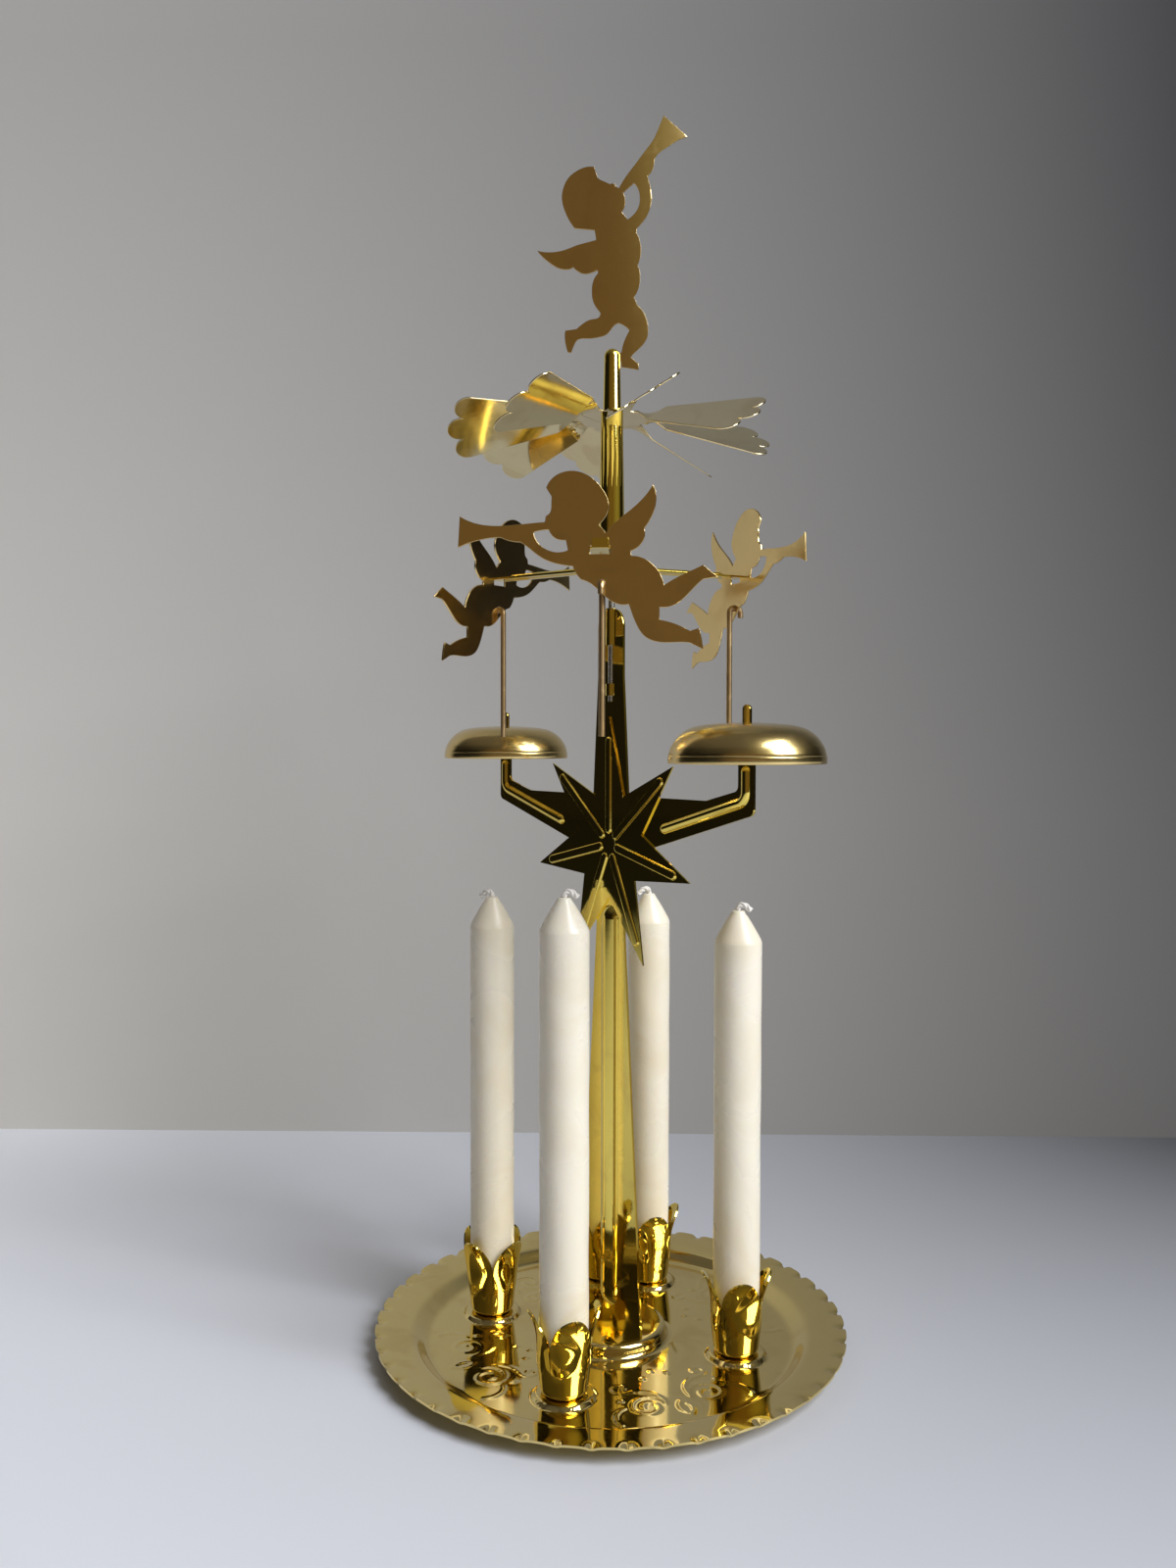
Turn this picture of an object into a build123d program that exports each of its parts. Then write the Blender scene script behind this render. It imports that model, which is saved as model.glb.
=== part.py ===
"""Angel chime carousel in stamped brass sheet: candles below, a turbine and angels above.

Warm air from four candles turns the turbine. Three flying angels ride round with it,
and the loose wires that hang from them ring two bells on the column's arms.
Lengths are in millimetres. Z is the column's axis, and the tray's underside is Z = 0.
"""
from build123d import *
from math import cos, radians, sin, sqrt
import os

# General
RUNNING_GAP = 0.06
LOOSE_GAP = 0.12
CUT_OVERRUN = 5.0

# Tray
TRAY_SHEET = 0.5
TRAY_FLOOR_RADIUS = 44.5
TRAY_WALL_RUN = 3.5
TRAY_WALL_RISE = 3.0
TRAY_FLANGE_WIDTH = 9.3
TRAY_FLANGE_RISE = 1.0
TRAY_BEND_RADIUS = 1.2
BOSS_BEND_RADIUS = 0.8
TRAY_SCALLOP_DEPTH = 0.9
SCALLOP_COUNT = 48
BOSS_TOP_RADIUS = 12.7
BOSS_FOOT_RADIUS = 14.6
BOSS_RISE = 3.2
SEAT_RADIUS = 6.6
SEAT_RISE = 1.0

# Candles and the petal cups that hold them
CANDLE_CIRCLE_RADIUS = 31.7
CANDLE_RADIUS = 5.56
FRONT_CANDLE_LENGTH = 96.4
RIGHT_CANDLE_LENGTH = 91.0
BACK_CANDLE_LENGTH = 90.0
LEFT_CANDLE_LENGTH = 91.4
CANDLE_TIP_HEIGHT = 7.2
CANDLE_TIP_RADIUS = 1.3
CANDLE_BULGE_SHARES = (0.56, 0.5)
CUP_SHEET = 0.4
CUP_BASE_RADIUS = 4.3
CUP_THROAT_HEIGHT = 7.0
CUP_FLARE_HEIGHT = 11.5
CUP_HEIGHT = 18.8
CUP_LIP_RADIUS = 8.2
CUP_NOTCH_HEIGHT = 5.4
PETAL_COUNT = 4
PETAL_TIP_DROP = 0.5
PETAL_SIDE_SHARES = (0.27, 0.70)
EYELET_RADIUS = 1.0
EYELET_HEAD_RADIUS = 2.2
EYELET_HEAD_HEIGHT = 0.4
WICK_RADIUS = 0.6
WICK_DEPTH = 5.0
WICK_RISE = 0.3
WICK_BEND_RADIUS = 1.0
WICK_REACH = 2.6

# Column plate, cut from one sheet, and the star on its front
PLATE_SHEET = 0.6
PLATE_FOOT_HALF_WIDTH = 12.4
PLATE_WAIST_HALF_WIDTH = 5.0
PLATE_WAIST_DROP = 10.4
BLADE_ROOT_HALF_WIDTH = 6.9
BLADE_NECK_RISE = 43.6
BLADE_TOP_HALF_WIDTH = 5.0
BLADE_RISE = 60.0
ARM_LOW_HEIGHT = 118.4
ARM_CORNER_RISE = 12.4
ARM_TOP_RISE = 14.9
ARM_TOP_BEND_REACH = 35.0
ARM_TOP_CORNER_RISE = 17.4
STEM_HALF_WIDTH = 2.4
STEM_BEND_RADIUS = 1.5
PEG_HALF_WIDTH = 1.15
PEG_ROUND_RADIUS = 1.0
PEG_RISE = 3.8
BLADE_ROUND_RADIUS = 4.4
SPINE_HALF_WIDTH = 3.3
SPINE_RISE = 1.6
SPINE_STAR_CLEARANCE = 1.9
SPINE_LOW_HEIGHT = 11.0
ARM_RIB_HALF_WIDTH = 1.2
ARM_RIB_RISE = 0.9
ARM_RIB_START_REACH = 20.8
ARM_RIB_START_RISE = 7.9
ARM_RIB_END_DROP = 1.7
ARM_RIB_BEND_RADIUS = 2.6
STAR_SHEET = 0.4
STAR_RISE = 3.0
STAR_RADIUS = 30.9
STAR_NOTCH_RADIUS = 13.0
STAR_POINTS = 7
STAR_RIB_HALF_WIDTH = 1.1
STAR_RIB_RISE = 0.8
STAR_RIB_START_RADIUS = 3.6
STAR_RIB_END_RADIUS = 25.0
TAB_WIDTH = 3.0
TAB_REACH = 8.0
TAB_FOLD = 3.2

# Bells on the arms' pegs
BELL_REACH = 47.8
BELL_RADIUS = 16.8
BELL_HEIGHT = 8.7
BELL_SHEET = 0.5
BELL_RIM_RISE = 10.9
BELL_CURVE_SHARES = ((1.0, 0.14), (0.968, 0.38), (0.86, 0.68), (0.685, 0.885), (0.36, 0.975), (0.0, 1.0))

# Needle, and the slot with bows to the front and back that holds it in the blade
NEEDLE_RADIUS = 0.8
NEEDLE_DEPTH = 22.4
NEEDLE_POINT_LENGTH = 3.0
LOW_BOW_RISE = 1.4
LOW_BOW_LENGTH = 3.0
TOP_BOW_LENGTH = 8.8

# Rotor tube
TUBE_CLEARANCE = 8.6
TUBE_HUB_RISE = 36.6
TUBE_NECK_LENGTH = 17.0
TUBE_LOW_RADIUS = 3.3
TUBE_HUB_RADIUS = 2.65
TUBE_STEP = 0.4
TUBE_TOP_RADIUS = 1.95
TUBE_WALL = 0.35
TUBE_LIP_RADIUS = 4.3
TUBE_LIP_HEIGHT = 0.6

# Turbine wheel
TURBINE_SHEET = 0.4
TURBINE_HUB_RADIUS = 8.4
TURBINE_RADIUS = 39.8
BLADE_COUNT = 8
BLADE_PITCH_DEGREES = 33.0
BLADE_DROOP_DEGREES = 8.0
BLADE_NECK_HALF_WIDTH = 2.7
BLADE_TWIST_START = 9.0
BLADE_TWIST_END = 13.0
BLADE_INNER_HALF_WIDTH = 4.2
BLADE_OUTER_HALF_WIDTH = 9.2
BLADE_LOBE_SHARES = ((0.85, 1.0), (0.945, 0.83), (0.91, 0.35), (1.0, 0.0))

# Angel carrier and angels
CARRIER_SHEET = 0.5
CARRIER_HUB_RADIUS = 6.2
CARRIER_ARM_HALF_WIDTH = 2.5
CARRIER_NECK_HALF_WIDTH = 1.8
CARRIER_TONGUE_RISE = 1.7
CARRIER_RIB_HALF_WIDTH = 1.1
CARRIER_RIB_RISE = 0.8
ANGEL_COUNT = 3
ANGEL_CIRCLE_RADIUS = 35.0
ANGEL_SHEET = 0.5
ANGEL_SPAN = 56.0
SLOT_WIDTH = 4.4
SLOT_HEIGHT = 1.8
TOP_ANGEL_SIZE = 60.0
TOP_ANGEL_FOOT_DROP = 4.9
TOP_ANGEL_TAB_HEIGHT = 2.0
TOP_ANGEL_TAB_LENGTH = 2.4
TOP_ANGEL_TAB_DROP = 3.0

# Strikers
STRIKER_RADIUS = 0.7
STRIKER_RIM_CLEARANCE = 5.7
STRIKER_STAND_OFF = 1.6
STRIKER_BEND_RADIUS = 1.15
STRIKER_TAIL = 2.4

# Directions seen from above, in degrees from +X
PLATE_DIRECTION = -53.0
ARM_DIRECTION = 266.0
BLADE_DIRECTION = 11.0
TOP_ANGEL_DIRECTION = 0.0
CANDLE_DIRECTIONS = {"front": 251.2, "right": -18.8, "back": 71.2, "left": 161.2}
WICK_DIRECTIONS = {"front": -6.0, "right": -14.0, "back": 196.0, "left": 160.0}
PETAL_DIRECTIONS = {"front": -72.0, "right": -84.0, "back": -76.0, "left": -38.0}

# Outline of a flying angel, as shares of its span from the point where it hangs.
# A stroke of one point is straight, and a longer one is a smooth curve.
ANGEL_START_SHARE = (-0.541, 0.116)
ANGEL_STROKE_SHARES = {
    "trumpet top": [(-0.48, 0.088), (-0.38, 0.077), (-0.211, 0.089)],
    "lips": [(-0.207, 0.113)],
    "forehead": [(-0.19, 0.127), (-0.186, 0.16), (-0.184, 0.184)],
    "forelock": [(-0.206, 0.219)],
    "head": [(-0.165, 0.268), (-0.1, 0.282), (-0.025, 0.25), (0.021, 0.193), (0.036, 0.149)],
    "nape": [(0.024, 0.11), (-0.004, 0.077)],
    "shoulder": [(0.024, 0.045)],
    "wing front": [(0.046, 0.072), (0.118, 0.132), (0.175, 0.186), (0.202, 0.226)],
    "wing back": [(0.215, 0.186), (0.205, 0.121), (0.169, 0.059)],
    "wing feathers": [(0.172, 0.029), (0.15, -0.007), (0.117, -0.025)],
    "wing root": [(0.121, -0.043)],
    "seat": [(0.171, -0.054), (0.218, -0.093), (0.246, -0.155)],
    "upper thigh": [(0.289, -0.129), (0.346, -0.102), (0.393, -0.08)],
    "upper sole": [(0.45, -0.126)],
    "upper heel": [(0.396, -0.133)],
    "upper calf": [(0.364, -0.161), (0.311, -0.214), (0.229, -0.239)],
    "knee fold": [(0.229, -0.286)],
    "lower shin": [(0.271, -0.296), (0.311, -0.311), (0.345, -0.329)],
    "lower heel": [(0.379, -0.318)],
    "lower sole": [(0.388, -0.35), (0.395, -0.4)],
    "lower toe": [(0.346, -0.375)],
    "lower thigh": [(0.318, -0.372), (0.232, -0.372), (0.175, -0.351), (0.141, -0.304), (0.111, -0.227)],
    "belly": [(0.068, -0.225), (0.025, -0.2), (-0.025, -0.154), (-0.071, -0.132)],
    "chest": [(-0.093, -0.104), (-0.104, -0.08)],
    "arm": [(-0.154, -0.073), (-0.218, -0.05), (-0.271, -0.011), (-0.304, 0.014)],
    "hand": [(-0.332, 0.016), (-0.382, 0.033)],
    "trumpet bottom": [(-0.454, 0.026), (-0.548, -0.004)],
    "trumpet mouth": [(-0.541, 0.116)],
}
ELBOW_START_SHARE = (-0.255, 0.05)
ELBOW_STROKE_SHARES = {
    "chin": [(-0.225, 0.058), (-0.196, 0.059)],
    "throat": [(-0.178, 0.032), (-0.13, 0.019)],
    "shoulder": [(-0.122, -0.019)],
    "sleeve": [(-0.168, -0.026), (-0.22, -0.006), (-0.255, 0.05)],
}
SLOT_CENTRE_SHARE = (0.002, -0.019)
EYE_SHARE = (0.007, -0.146)

# Outline of the standing angel on top, as shares of its height from the axis at its foot
TOP_ANGEL_START_SHARE = (0.203, 1.006)
TOP_ANGEL_STROKE_SHARES = {
    "trumpet left": [(0.183, 0.955), (0.162, 0.909), (0.125, 0.857), (0.093, 0.813), (0.059, 0.768),
                     (0.026, 0.714)],
    "lips": [(0.016, 0.718), (0.009, 0.728)],
    "nose": [(0.001, 0.733)],
    "brow": [(-0.009, 0.73), (-0.027, 0.737), (-0.046, 0.745), (-0.06, 0.755)],
    "forelock": [(-0.074, 0.797)],
    "head": [(-0.109, 0.796), (-0.144, 0.781), (-0.175, 0.756), (-0.195, 0.719), (-0.202, 0.673),
             (-0.194, 0.635), (-0.175, 0.592), (-0.151, 0.557)],
    "hair ends": [(-0.071, 0.549)],
    "shoulder": [(-0.065, 0.51)],
    "wing front": [(-0.108, 0.499), (-0.147, 0.488), (-0.186, 0.473), (-0.237, 0.463), (-0.3, 0.469)],
    "wing back": [(-0.276, 0.442), (-0.245, 0.417), (-0.206, 0.397), (-0.178, 0.395), (-0.155, 0.403)],
    "wing feathers": [(-0.131, 0.383), (-0.108, 0.377), (-0.08, 0.383), (-0.059, 0.391)],
    "wing root": [(-0.057, 0.379)],
    "seat": [(-0.075, 0.352), (-0.082, 0.31), (-0.076, 0.267), (-0.061, 0.24)],
    "thigh fold": [(-0.047, 0.222)],
    "upper calf": [(-0.057, 0.203), (-0.088, 0.196), (-0.115, 0.182), (-0.143, 0.159)],
    "upper heel": [(-0.188, 0.153)],
    "upper sole": [(-0.19, 0.132), (-0.186, 0.097), (-0.178, 0.068)],
    "upper toe": [(-0.164, 0.066)],
    "upper shin": [(-0.152, 0.097), (-0.139, 0.116), (-0.096, 0.122), (-0.049, 0.128), (-0.021, 0.139),
                   (0.002, 0.166), (0.024, 0.183)],
    "knee fold": [(0.049, 0.172), (0.069, 0.154)],
    "lower calf": [(0.053, 0.123), (0.042, 0.092), (0.036, 0.057)],
    "lower heel": [(0.037, 0.009)],
    "lower sole": [(0.107, -0.001)],
    "lower toe": [(0.105, 0.024)],
    "instep": [(0.091, 0.034), (0.075, 0.049)],
    "lower shin": [(0.097, 0.073), (0.124, 0.1), (0.142, 0.134), (0.143, 0.173), (0.129, 0.22),
                   (0.1, 0.255)],
    "groin": [(0.086, 0.286)],
    "belly": [(0.1, 0.309), (0.109, 0.34), (0.111, 0.371), (0.101, 0.413)],
    "chest": [(0.113, 0.452), (0.113, 0.49), (0.095, 0.54)],
    "armpit": [(0.097, 0.558)],
    "arm": [(0.126, 0.59), (0.149, 0.636), (0.156, 0.686), (0.149, 0.729), (0.139, 0.763)],
    "hand": [(0.159, 0.79), (0.166, 0.83)],
    "trumpet right": [(0.188, 0.861), (0.223, 0.887), (0.261, 0.914), (0.299, 0.931)],
    "trumpet mouth": [(0.203, 1.006)],
}
TOP_ELBOW_START_SHARE = (0.042, 0.695)
TOP_ELBOW_STROKE_SHARES = {
    "tube": [(0.085, 0.735)],
    "sleeve": [(0.102, 0.713), (0.109, 0.679), (0.103, 0.64), (0.083, 0.61), (0.06, 0.591)],
    "throat": [(0.036, 0.62)],
    "chin": [(0.049, 0.645), (0.05, 0.67), (0.042, 0.695)],
}

# Heights and offsets that follow from the sizes above
FLOOR_TOP = TRAY_SHEET
BOSS_TOP = FLOOR_TOP + BOSS_RISE
SEAT_TOP = FLOOR_TOP + SEAT_RISE
CUP_FLOOR_TOP = SEAT_TOP + CUP_SHEET
CANDLE_FOOT = SEAT_TOP + CUP_THROAT_HEIGHT
RIM_RADIUS = TRAY_FLOOR_RADIUS + TRAY_WALL_RUN + TRAY_FLANGE_WIDTH
RIM_TOP = FLOOR_TOP + TRAY_WALL_RISE + TRAY_FLANGE_RISE
PLATE_FRONT = -PLATE_SHEET / 2
PLATE_WAIST_HEIGHT = ARM_LOW_HEIGHT - PLATE_WAIST_DROP
ARM_CORNER_HEIGHT = ARM_LOW_HEIGHT + ARM_CORNER_RISE
ARM_TOP_HEIGHT = ARM_LOW_HEIGHT + ARM_TOP_RISE
ARM_TOP_CORNER_HEIGHT = ARM_LOW_HEIGHT + ARM_TOP_CORNER_RISE
STAR_CENTRE_HEIGHT = ARM_LOW_HEIGHT + STAR_RISE
SPINE_TOP_HEIGHT = STAR_CENTRE_HEIGHT - STAR_NOTCH_RADIUS - SPINE_STAR_CLEARANCE - SPINE_HALF_WIDTH
BELL_RIM_HEIGHT = ARM_CORNER_HEIGHT + BELL_RIM_RISE
ARM_RIB_START_HEIGHT = ARM_LOW_HEIGHT + ARM_RIB_START_RISE
ARM_RIB_END_HEIGHT = BELL_RIM_HEIGHT - ARM_RIB_END_DROP
BLADE_NECK_HEIGHT = ARM_LOW_HEIGHT + BLADE_NECK_RISE
BLADE_TOP_HEIGHT = ARM_LOW_HEIGHT + BLADE_RISE
NEEDLE_LOW_HEIGHT = BLADE_TOP_HEIGHT - NEEDLE_DEPTH
LOW_BOW_HEIGHT = NEEDLE_LOW_HEIGHT + LOW_BOW_RISE
BACK_BOW_HEIGHT = LOW_BOW_HEIGHT + LOW_BOW_LENGTH
TOP_BOW_HEIGHT = BLADE_TOP_HEIGHT - TOP_BOW_LENGTH
TUBE_LOW_HEIGHT = BLADE_TOP_HEIGHT + TUBE_CLEARANCE
TUBE_HUB_HEIGHT = TUBE_LOW_HEIGHT + TUBE_HUB_RISE
TUBE_TOP_HEIGHT = TUBE_HUB_HEIGHT + TUBE_NECK_LENGTH
TOP_ANGEL_FOOT_HEIGHT = TUBE_TOP_HEIGHT - TOP_ANGEL_FOOT_DROP
STRIKER_LOW_HEIGHT = BELL_RIM_HEIGHT + STRIKER_RIM_CLEARANCE
BELL_TOP = BELL_RIM_HEIGHT + BELL_HEIGHT
PEG_TOP = BELL_TOP + PEG_RISE
STEM_SHOULDER = BELL_TOP - BELL_SHEET - LOOSE_GAP
TUBE_CEILING = TUBE_TOP_HEIGHT - TUBE_WALL
TAB_LOW = TUBE_TOP_HEIGHT - TOP_ANGEL_TAB_DROP
CARRIER_LOW = TUBE_LOW_HEIGHT + TUBE_LIP_HEIGHT
CARRIER_TOP = CARRIER_LOW + CARRIER_SHEET
ANGEL_HEIGHT = CARRIER_TOP + RUNNING_GAP - SLOT_HEIGHT / 2 - SLOT_CENTRE_SHARE[1] * ANGEL_SPAN


def turned(shape, direction):
    """The shape turned about the column's axis."""
    return shape.rotate(Axis.Z, direction)


def disc(radius, low, high):
    """A flat round plate between two heights."""
    return Pos(0, 0, (low + high) / 2) * Cylinder(radius, high - low)


def block(width, depth, low, high, x=0, y=0):
    """An upright block centred on x and y, between two heights."""
    return Pos(x, y, (low + high) / 2) * Box(width, depth, high - low)


def upright(face, thickness, y=0):
    """A sheet of the given thickness, cut to a face drawn in X and Z, centred on y."""
    return Pos(0, y - thickness / 2, 0) * extrude(face, thickness, dir=(0, 1, 0))


def spun(points):
    """A solid turned from a closed outline of radius and height."""
    outline = make_face(Polyline(*[(r, 0, z) for r, z in points], close=True))
    return revolve(outline, Axis.Z)


def spun_sheet(surface, thickness, side):
    """A bent sheet turned about the axis: the given surface and its copy on one side."""
    return revolve(make_face(surface.offset_2d(thickness, side=side)), Axis.Z)


def at_direction(radius, direction):
    """The point at a radius and a direction from the axis."""
    return (radius * cos(radians(direction)), radius * sin(radians(direction)))


def drawn(start_share, stroke_shares, span, y=0):
    """A face in X and Z from strokes given as shares of the span."""
    last = (start_share[0] * span, y, start_share[1] * span)
    edges = []
    for shares in stroke_shares.values():
        points = [last] + [(x * span, y, z * span) for x, z in shares]
        edges.append(Line(*points) if len(points) == 2 else Spline(*points))
        last = points[-1]
    return make_face(Wire(edges))


def rib_radius(half_width, rise):
    """Radius of the round rib that has the given half width and rise."""
    return (half_width ** 2 + rise ** 2) / (2 * rise)


def round_bar(path, radius):
    """A round bar with ball ends along a path."""
    bar = sweep(Plane(origin=path @ 0, z_dir=path % 0) * Circle(radius), path)
    return bar + Pos(path @ 0) * Sphere(radius) + Pos(path @ 1) * Sphere(radius)


def ribbed(plate, paths, half_width, rise, sheet, front_y):
    """A sheet with half-round ribs pressed out of its front, hollow behind."""
    radius = rib_radius(half_width, rise)
    deep_paths = [Pos(0, front_y + radius - rise, 0) * path for path in paths]
    bounds = plate.bounding_box()
    centre = bounds.center()
    behind = Box(bounds.size.X + CUT_OVERRUN, radius + CUT_OVERRUN, bounds.size.Z + CUT_OVERRUN)
    behind = Pos(centre.X, front_y + sheet + (radius + CUT_OVERRUN) / 2, centre.Z) * behind
    for path in deep_paths:
        plate += round_bar(path, radius) - behind
    for path in deep_paths:
        plate -= round_bar(path, radius - sheet)
    return plate


# Tray

def scalloped_disc():
    """The rim's outline: shallow lobes that meet in notches."""
    step = 360 / SCALLOP_COUNT
    notch_radius = RIM_RADIUS - TRAY_SCALLOP_DEPTH
    edges = []
    for index in range(SCALLOP_COUNT):
        start = at_direction(notch_radius, (index - 1 / 2) * step)
        crest = at_direction(RIM_RADIUS, index * step)
        end = at_direction(notch_radius, (index + 1 / 2) * step)
        edges.append(ThreePointArc(start, crest, end))
    return extrude(make_face(Wire(edges)), RIM_TOP + CUT_OVERRUN)


def tray_surface():
    """The tray's upper surface from the axis to beyond the rim, with rounded bends."""
    wall_top = TRAY_FLOOR_RADIUS + TRAY_WALL_RUN
    slope = TRAY_FLANGE_RISE / TRAY_FLANGE_WIDTH
    points = [
        (0, 0, BOSS_TOP),
        (BOSS_TOP_RADIUS, 0, BOSS_TOP),
        (BOSS_FOOT_RADIUS, 0, FLOOR_TOP),
        (TRAY_FLOOR_RADIUS, 0, FLOOR_TOP),
        (wall_top, 0, FLOOR_TOP + TRAY_WALL_RISE),
        (RIM_RADIUS + CUT_OVERRUN, 0, RIM_TOP + slope * CUT_OVERRUN),
    ]
    bends = [BOSS_BEND_RADIUS, BOSS_BEND_RADIUS, TRAY_BEND_RADIUS, TRAY_BEND_RADIUS]
    return Wire(FilletPolyline(*points, radius=bends).edges())


def tray():
    """The stamped pan with its boss, four raised seats and scalloped rim."""
    pan = spun_sheet(tray_surface(), TRAY_SHEET, Side.RIGHT)
    seat = Cone(SEAT_RADIUS + SEAT_RISE, SEAT_RADIUS, SEAT_RISE)
    for direction in CANDLE_DIRECTIONS.values():
        x, y = at_direction(CANDLE_CIRCLE_RADIUS, direction)
        pan += Pos(x, y, FLOOR_TOP + SEAT_RISE / 2) * seat
        pan -= Pos(x, y, SEAT_RISE / 2) * seat
        pan -= Pos(x, y, SEAT_TOP) * Cylinder(EYELET_RADIUS + RUNNING_GAP, CUT_OVERRUN)
    for side in (-1, 1):
        slot = block(TAB_WIDTH + LOOSE_GAP, PLATE_SHEET + LOOSE_GAP, 0, BOSS_TOP + CUT_OVERRUN,
                     x=side * TAB_REACH)
        pan -= turned(slot, PLATE_DIRECTION)
    return pan & scalloped_disc()


# Candles and holders

def cup_surface():
    """The cup's inner surface, from its eyelet hole along the base and up to the curled lip."""
    throat = (CANDLE_RADIUS + RUNNING_GAP, 0, CUP_THROAT_HEIGHT)
    flare = (CANDLE_RADIUS + LOOSE_GAP, 0, CUP_FLARE_HEIGHT)
    low = Polyline((EYELET_RADIUS + RUNNING_GAP, 0, CUP_SHEET), (CUP_BASE_RADIUS, 0, CUP_SHEET),
                   throat, flare)
    lip = TangentArc(flare, (CUP_LIP_RADIUS, 0, CUP_HEIGHT), tangent=(0, 0, 1))
    return Wire([*low.edges(), lip])


def petal_notch():
    """The gap between two round-tipped petals, cut outwards along +Y from the axis."""
    reach = CUP_LIP_RADIUS + CUP_SHEET
    half_gap = reach * sin(radians(180 / PETAL_COUNT))
    tip = CUP_HEIGHT - PETAL_TIP_DROP
    across, up = PETAL_SIDE_SHARES
    middle = (half_gap * across, 0, CUP_NOTCH_HEIGHT + (tip - CUP_NOTCH_HEIGHT) * up)
    bottom = (0, 0, CUP_NOTCH_HEIGHT)
    over = CUP_HEIGHT + CUT_OVERRUN
    edges = [
        Spline(bottom, middle, (half_gap, 0, tip), tangents=((0, 0, 1), (1, 0, 0))),
        Line((half_gap, 0, tip), (half_gap, 0, over)),
        Line((half_gap, 0, over), (-half_gap, 0, over)),
        Line((-half_gap, 0, over), (-half_gap, 0, tip)),
        Spline((-half_gap, 0, tip), (-middle[0], 0, middle[2]), bottom, tangents=((1, 0, 0), (0, 0, -1))),
    ]
    return extrude(make_face(Wire(edges)), reach + CUT_OVERRUN, dir=(0, 1, 0))


def candle_holder():
    """A stamped cup of four petals, one of them towards +X, standing at the origin."""
    cup = spun_sheet(cup_surface(), CUP_SHEET, Side.LEFT)
    for index in range(PETAL_COUNT):
        cup -= turned(petal_notch(), (index + 1 / 2) * 360 / PETAL_COUNT)
    return cup


def holder_eyelet():
    """A rivet through cup and tray, from its set tail up to its head, at the origin."""
    tail_top = SEAT_RISE
    tail = disc(EYELET_HEAD_RADIUS, tail_top - EYELET_HEAD_HEIGHT, tail_top)
    shank = disc(EYELET_RADIUS, tail_top, CUP_FLOOR_TOP)
    head = disc(EYELET_HEAD_RADIUS, CUP_FLOOR_TOP, CUP_FLOOR_TOP + EYELET_HEAD_HEIGHT)
    return tail + shank + head


def candle(length):
    """A candle with a flat foot, a conical tip and a wick hole, standing at the origin."""
    top = length + CANDLE_TIP_HEIGHT
    out, up = CANDLE_BULGE_SHARES
    bulge = (CANDLE_TIP_RADIUS + (CANDLE_RADIUS - CANDLE_TIP_RADIUS) * out, 0,
             length + CANDLE_TIP_HEIGHT * up)
    side = Polyline((CANDLE_TIP_RADIUS, 0, top), (0, 0, top), (0, 0, 0), (CANDLE_RADIUS, 0, 0),
                    (CANDLE_RADIUS, 0, length))
    tip = ThreePointArc((CANDLE_RADIUS, 0, length), bulge, (CANDLE_TIP_RADIUS, 0, top))
    wax = revolve(make_face(Wire([*side.edges(), tip])), Axis.Z)
    return wax - disc(WICK_RADIUS, top - WICK_DEPTH, top + CUT_OVERRUN)


def wick(length):
    """A short wick that rises from its hole and bends over."""
    top = length + CANDLE_TIP_HEIGHT
    foot = (0, 0, top - WICK_DEPTH)
    bend_start = (0, 0, top + WICK_RISE)
    path = Line(foot, bend_start)
    bend = TangentArc(bend_start, (WICK_BEND_RADIUS, 0, top + WICK_RISE + WICK_BEND_RADIUS),
                      tangent=(0, 0, 1))
    tail = Line(bend @ 1, bend @ 1 + Vector(WICK_REACH, 0, 0))
    return sweep(Plane(origin=foot) * Circle(WICK_RADIUS), Wire([path, bend, tail]))


# Column plate and star

def plate_outline(side):
    """Half of the column plate's outline on one side, from the foot to the blade's top."""
    stem_in = BELL_REACH - STEM_HALF_WIDTH
    stem_out = BELL_REACH + STEM_HALF_WIDTH
    peg_in = BELL_REACH - PEG_HALF_WIDTH
    peg_out = BELL_REACH + PEG_HALF_WIDTH
    corners = [
        (0, BOSS_TOP, 0),
        (PLATE_FOOT_HALF_WIDTH, BOSS_TOP, 0),
        (PLATE_WAIST_HALF_WIDTH, PLATE_WAIST_HEIGHT, 0),
        (PLATE_WAIST_HALF_WIDTH, ARM_LOW_HEIGHT, 0),
        (stem_out, ARM_CORNER_HEIGHT, STEM_BEND_RADIUS),
        (stem_out, STEM_SHOULDER, 0),
        (peg_out, STEM_SHOULDER, 0),
        (peg_out, PEG_TOP, PEG_ROUND_RADIUS),
        (peg_in, PEG_TOP, PEG_ROUND_RADIUS),
        (peg_in, STEM_SHOULDER, 0),
        (stem_in, STEM_SHOULDER, 0),
        (stem_in, ARM_TOP_CORNER_HEIGHT, STEM_BEND_RADIUS),
        (ARM_TOP_BEND_REACH, ARM_TOP_HEIGHT, 0),
        (BLADE_ROOT_HALF_WIDTH, ARM_TOP_HEIGHT, 0),
        (BLADE_TOP_HALF_WIDTH, BLADE_NECK_HEIGHT, 0),
        (BLADE_TOP_HALF_WIDTH, BLADE_TOP_HEIGHT, BLADE_ROUND_RADIUS),
        (0, BLADE_TOP_HEIGHT, 0),
    ]
    points = [(side * x, 0, z) for x, z, _ in corners]
    bends = [bend for _, _, bend in corners]
    return make_face(FilletPolyline(*points, radius=bends, close=True))


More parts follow.
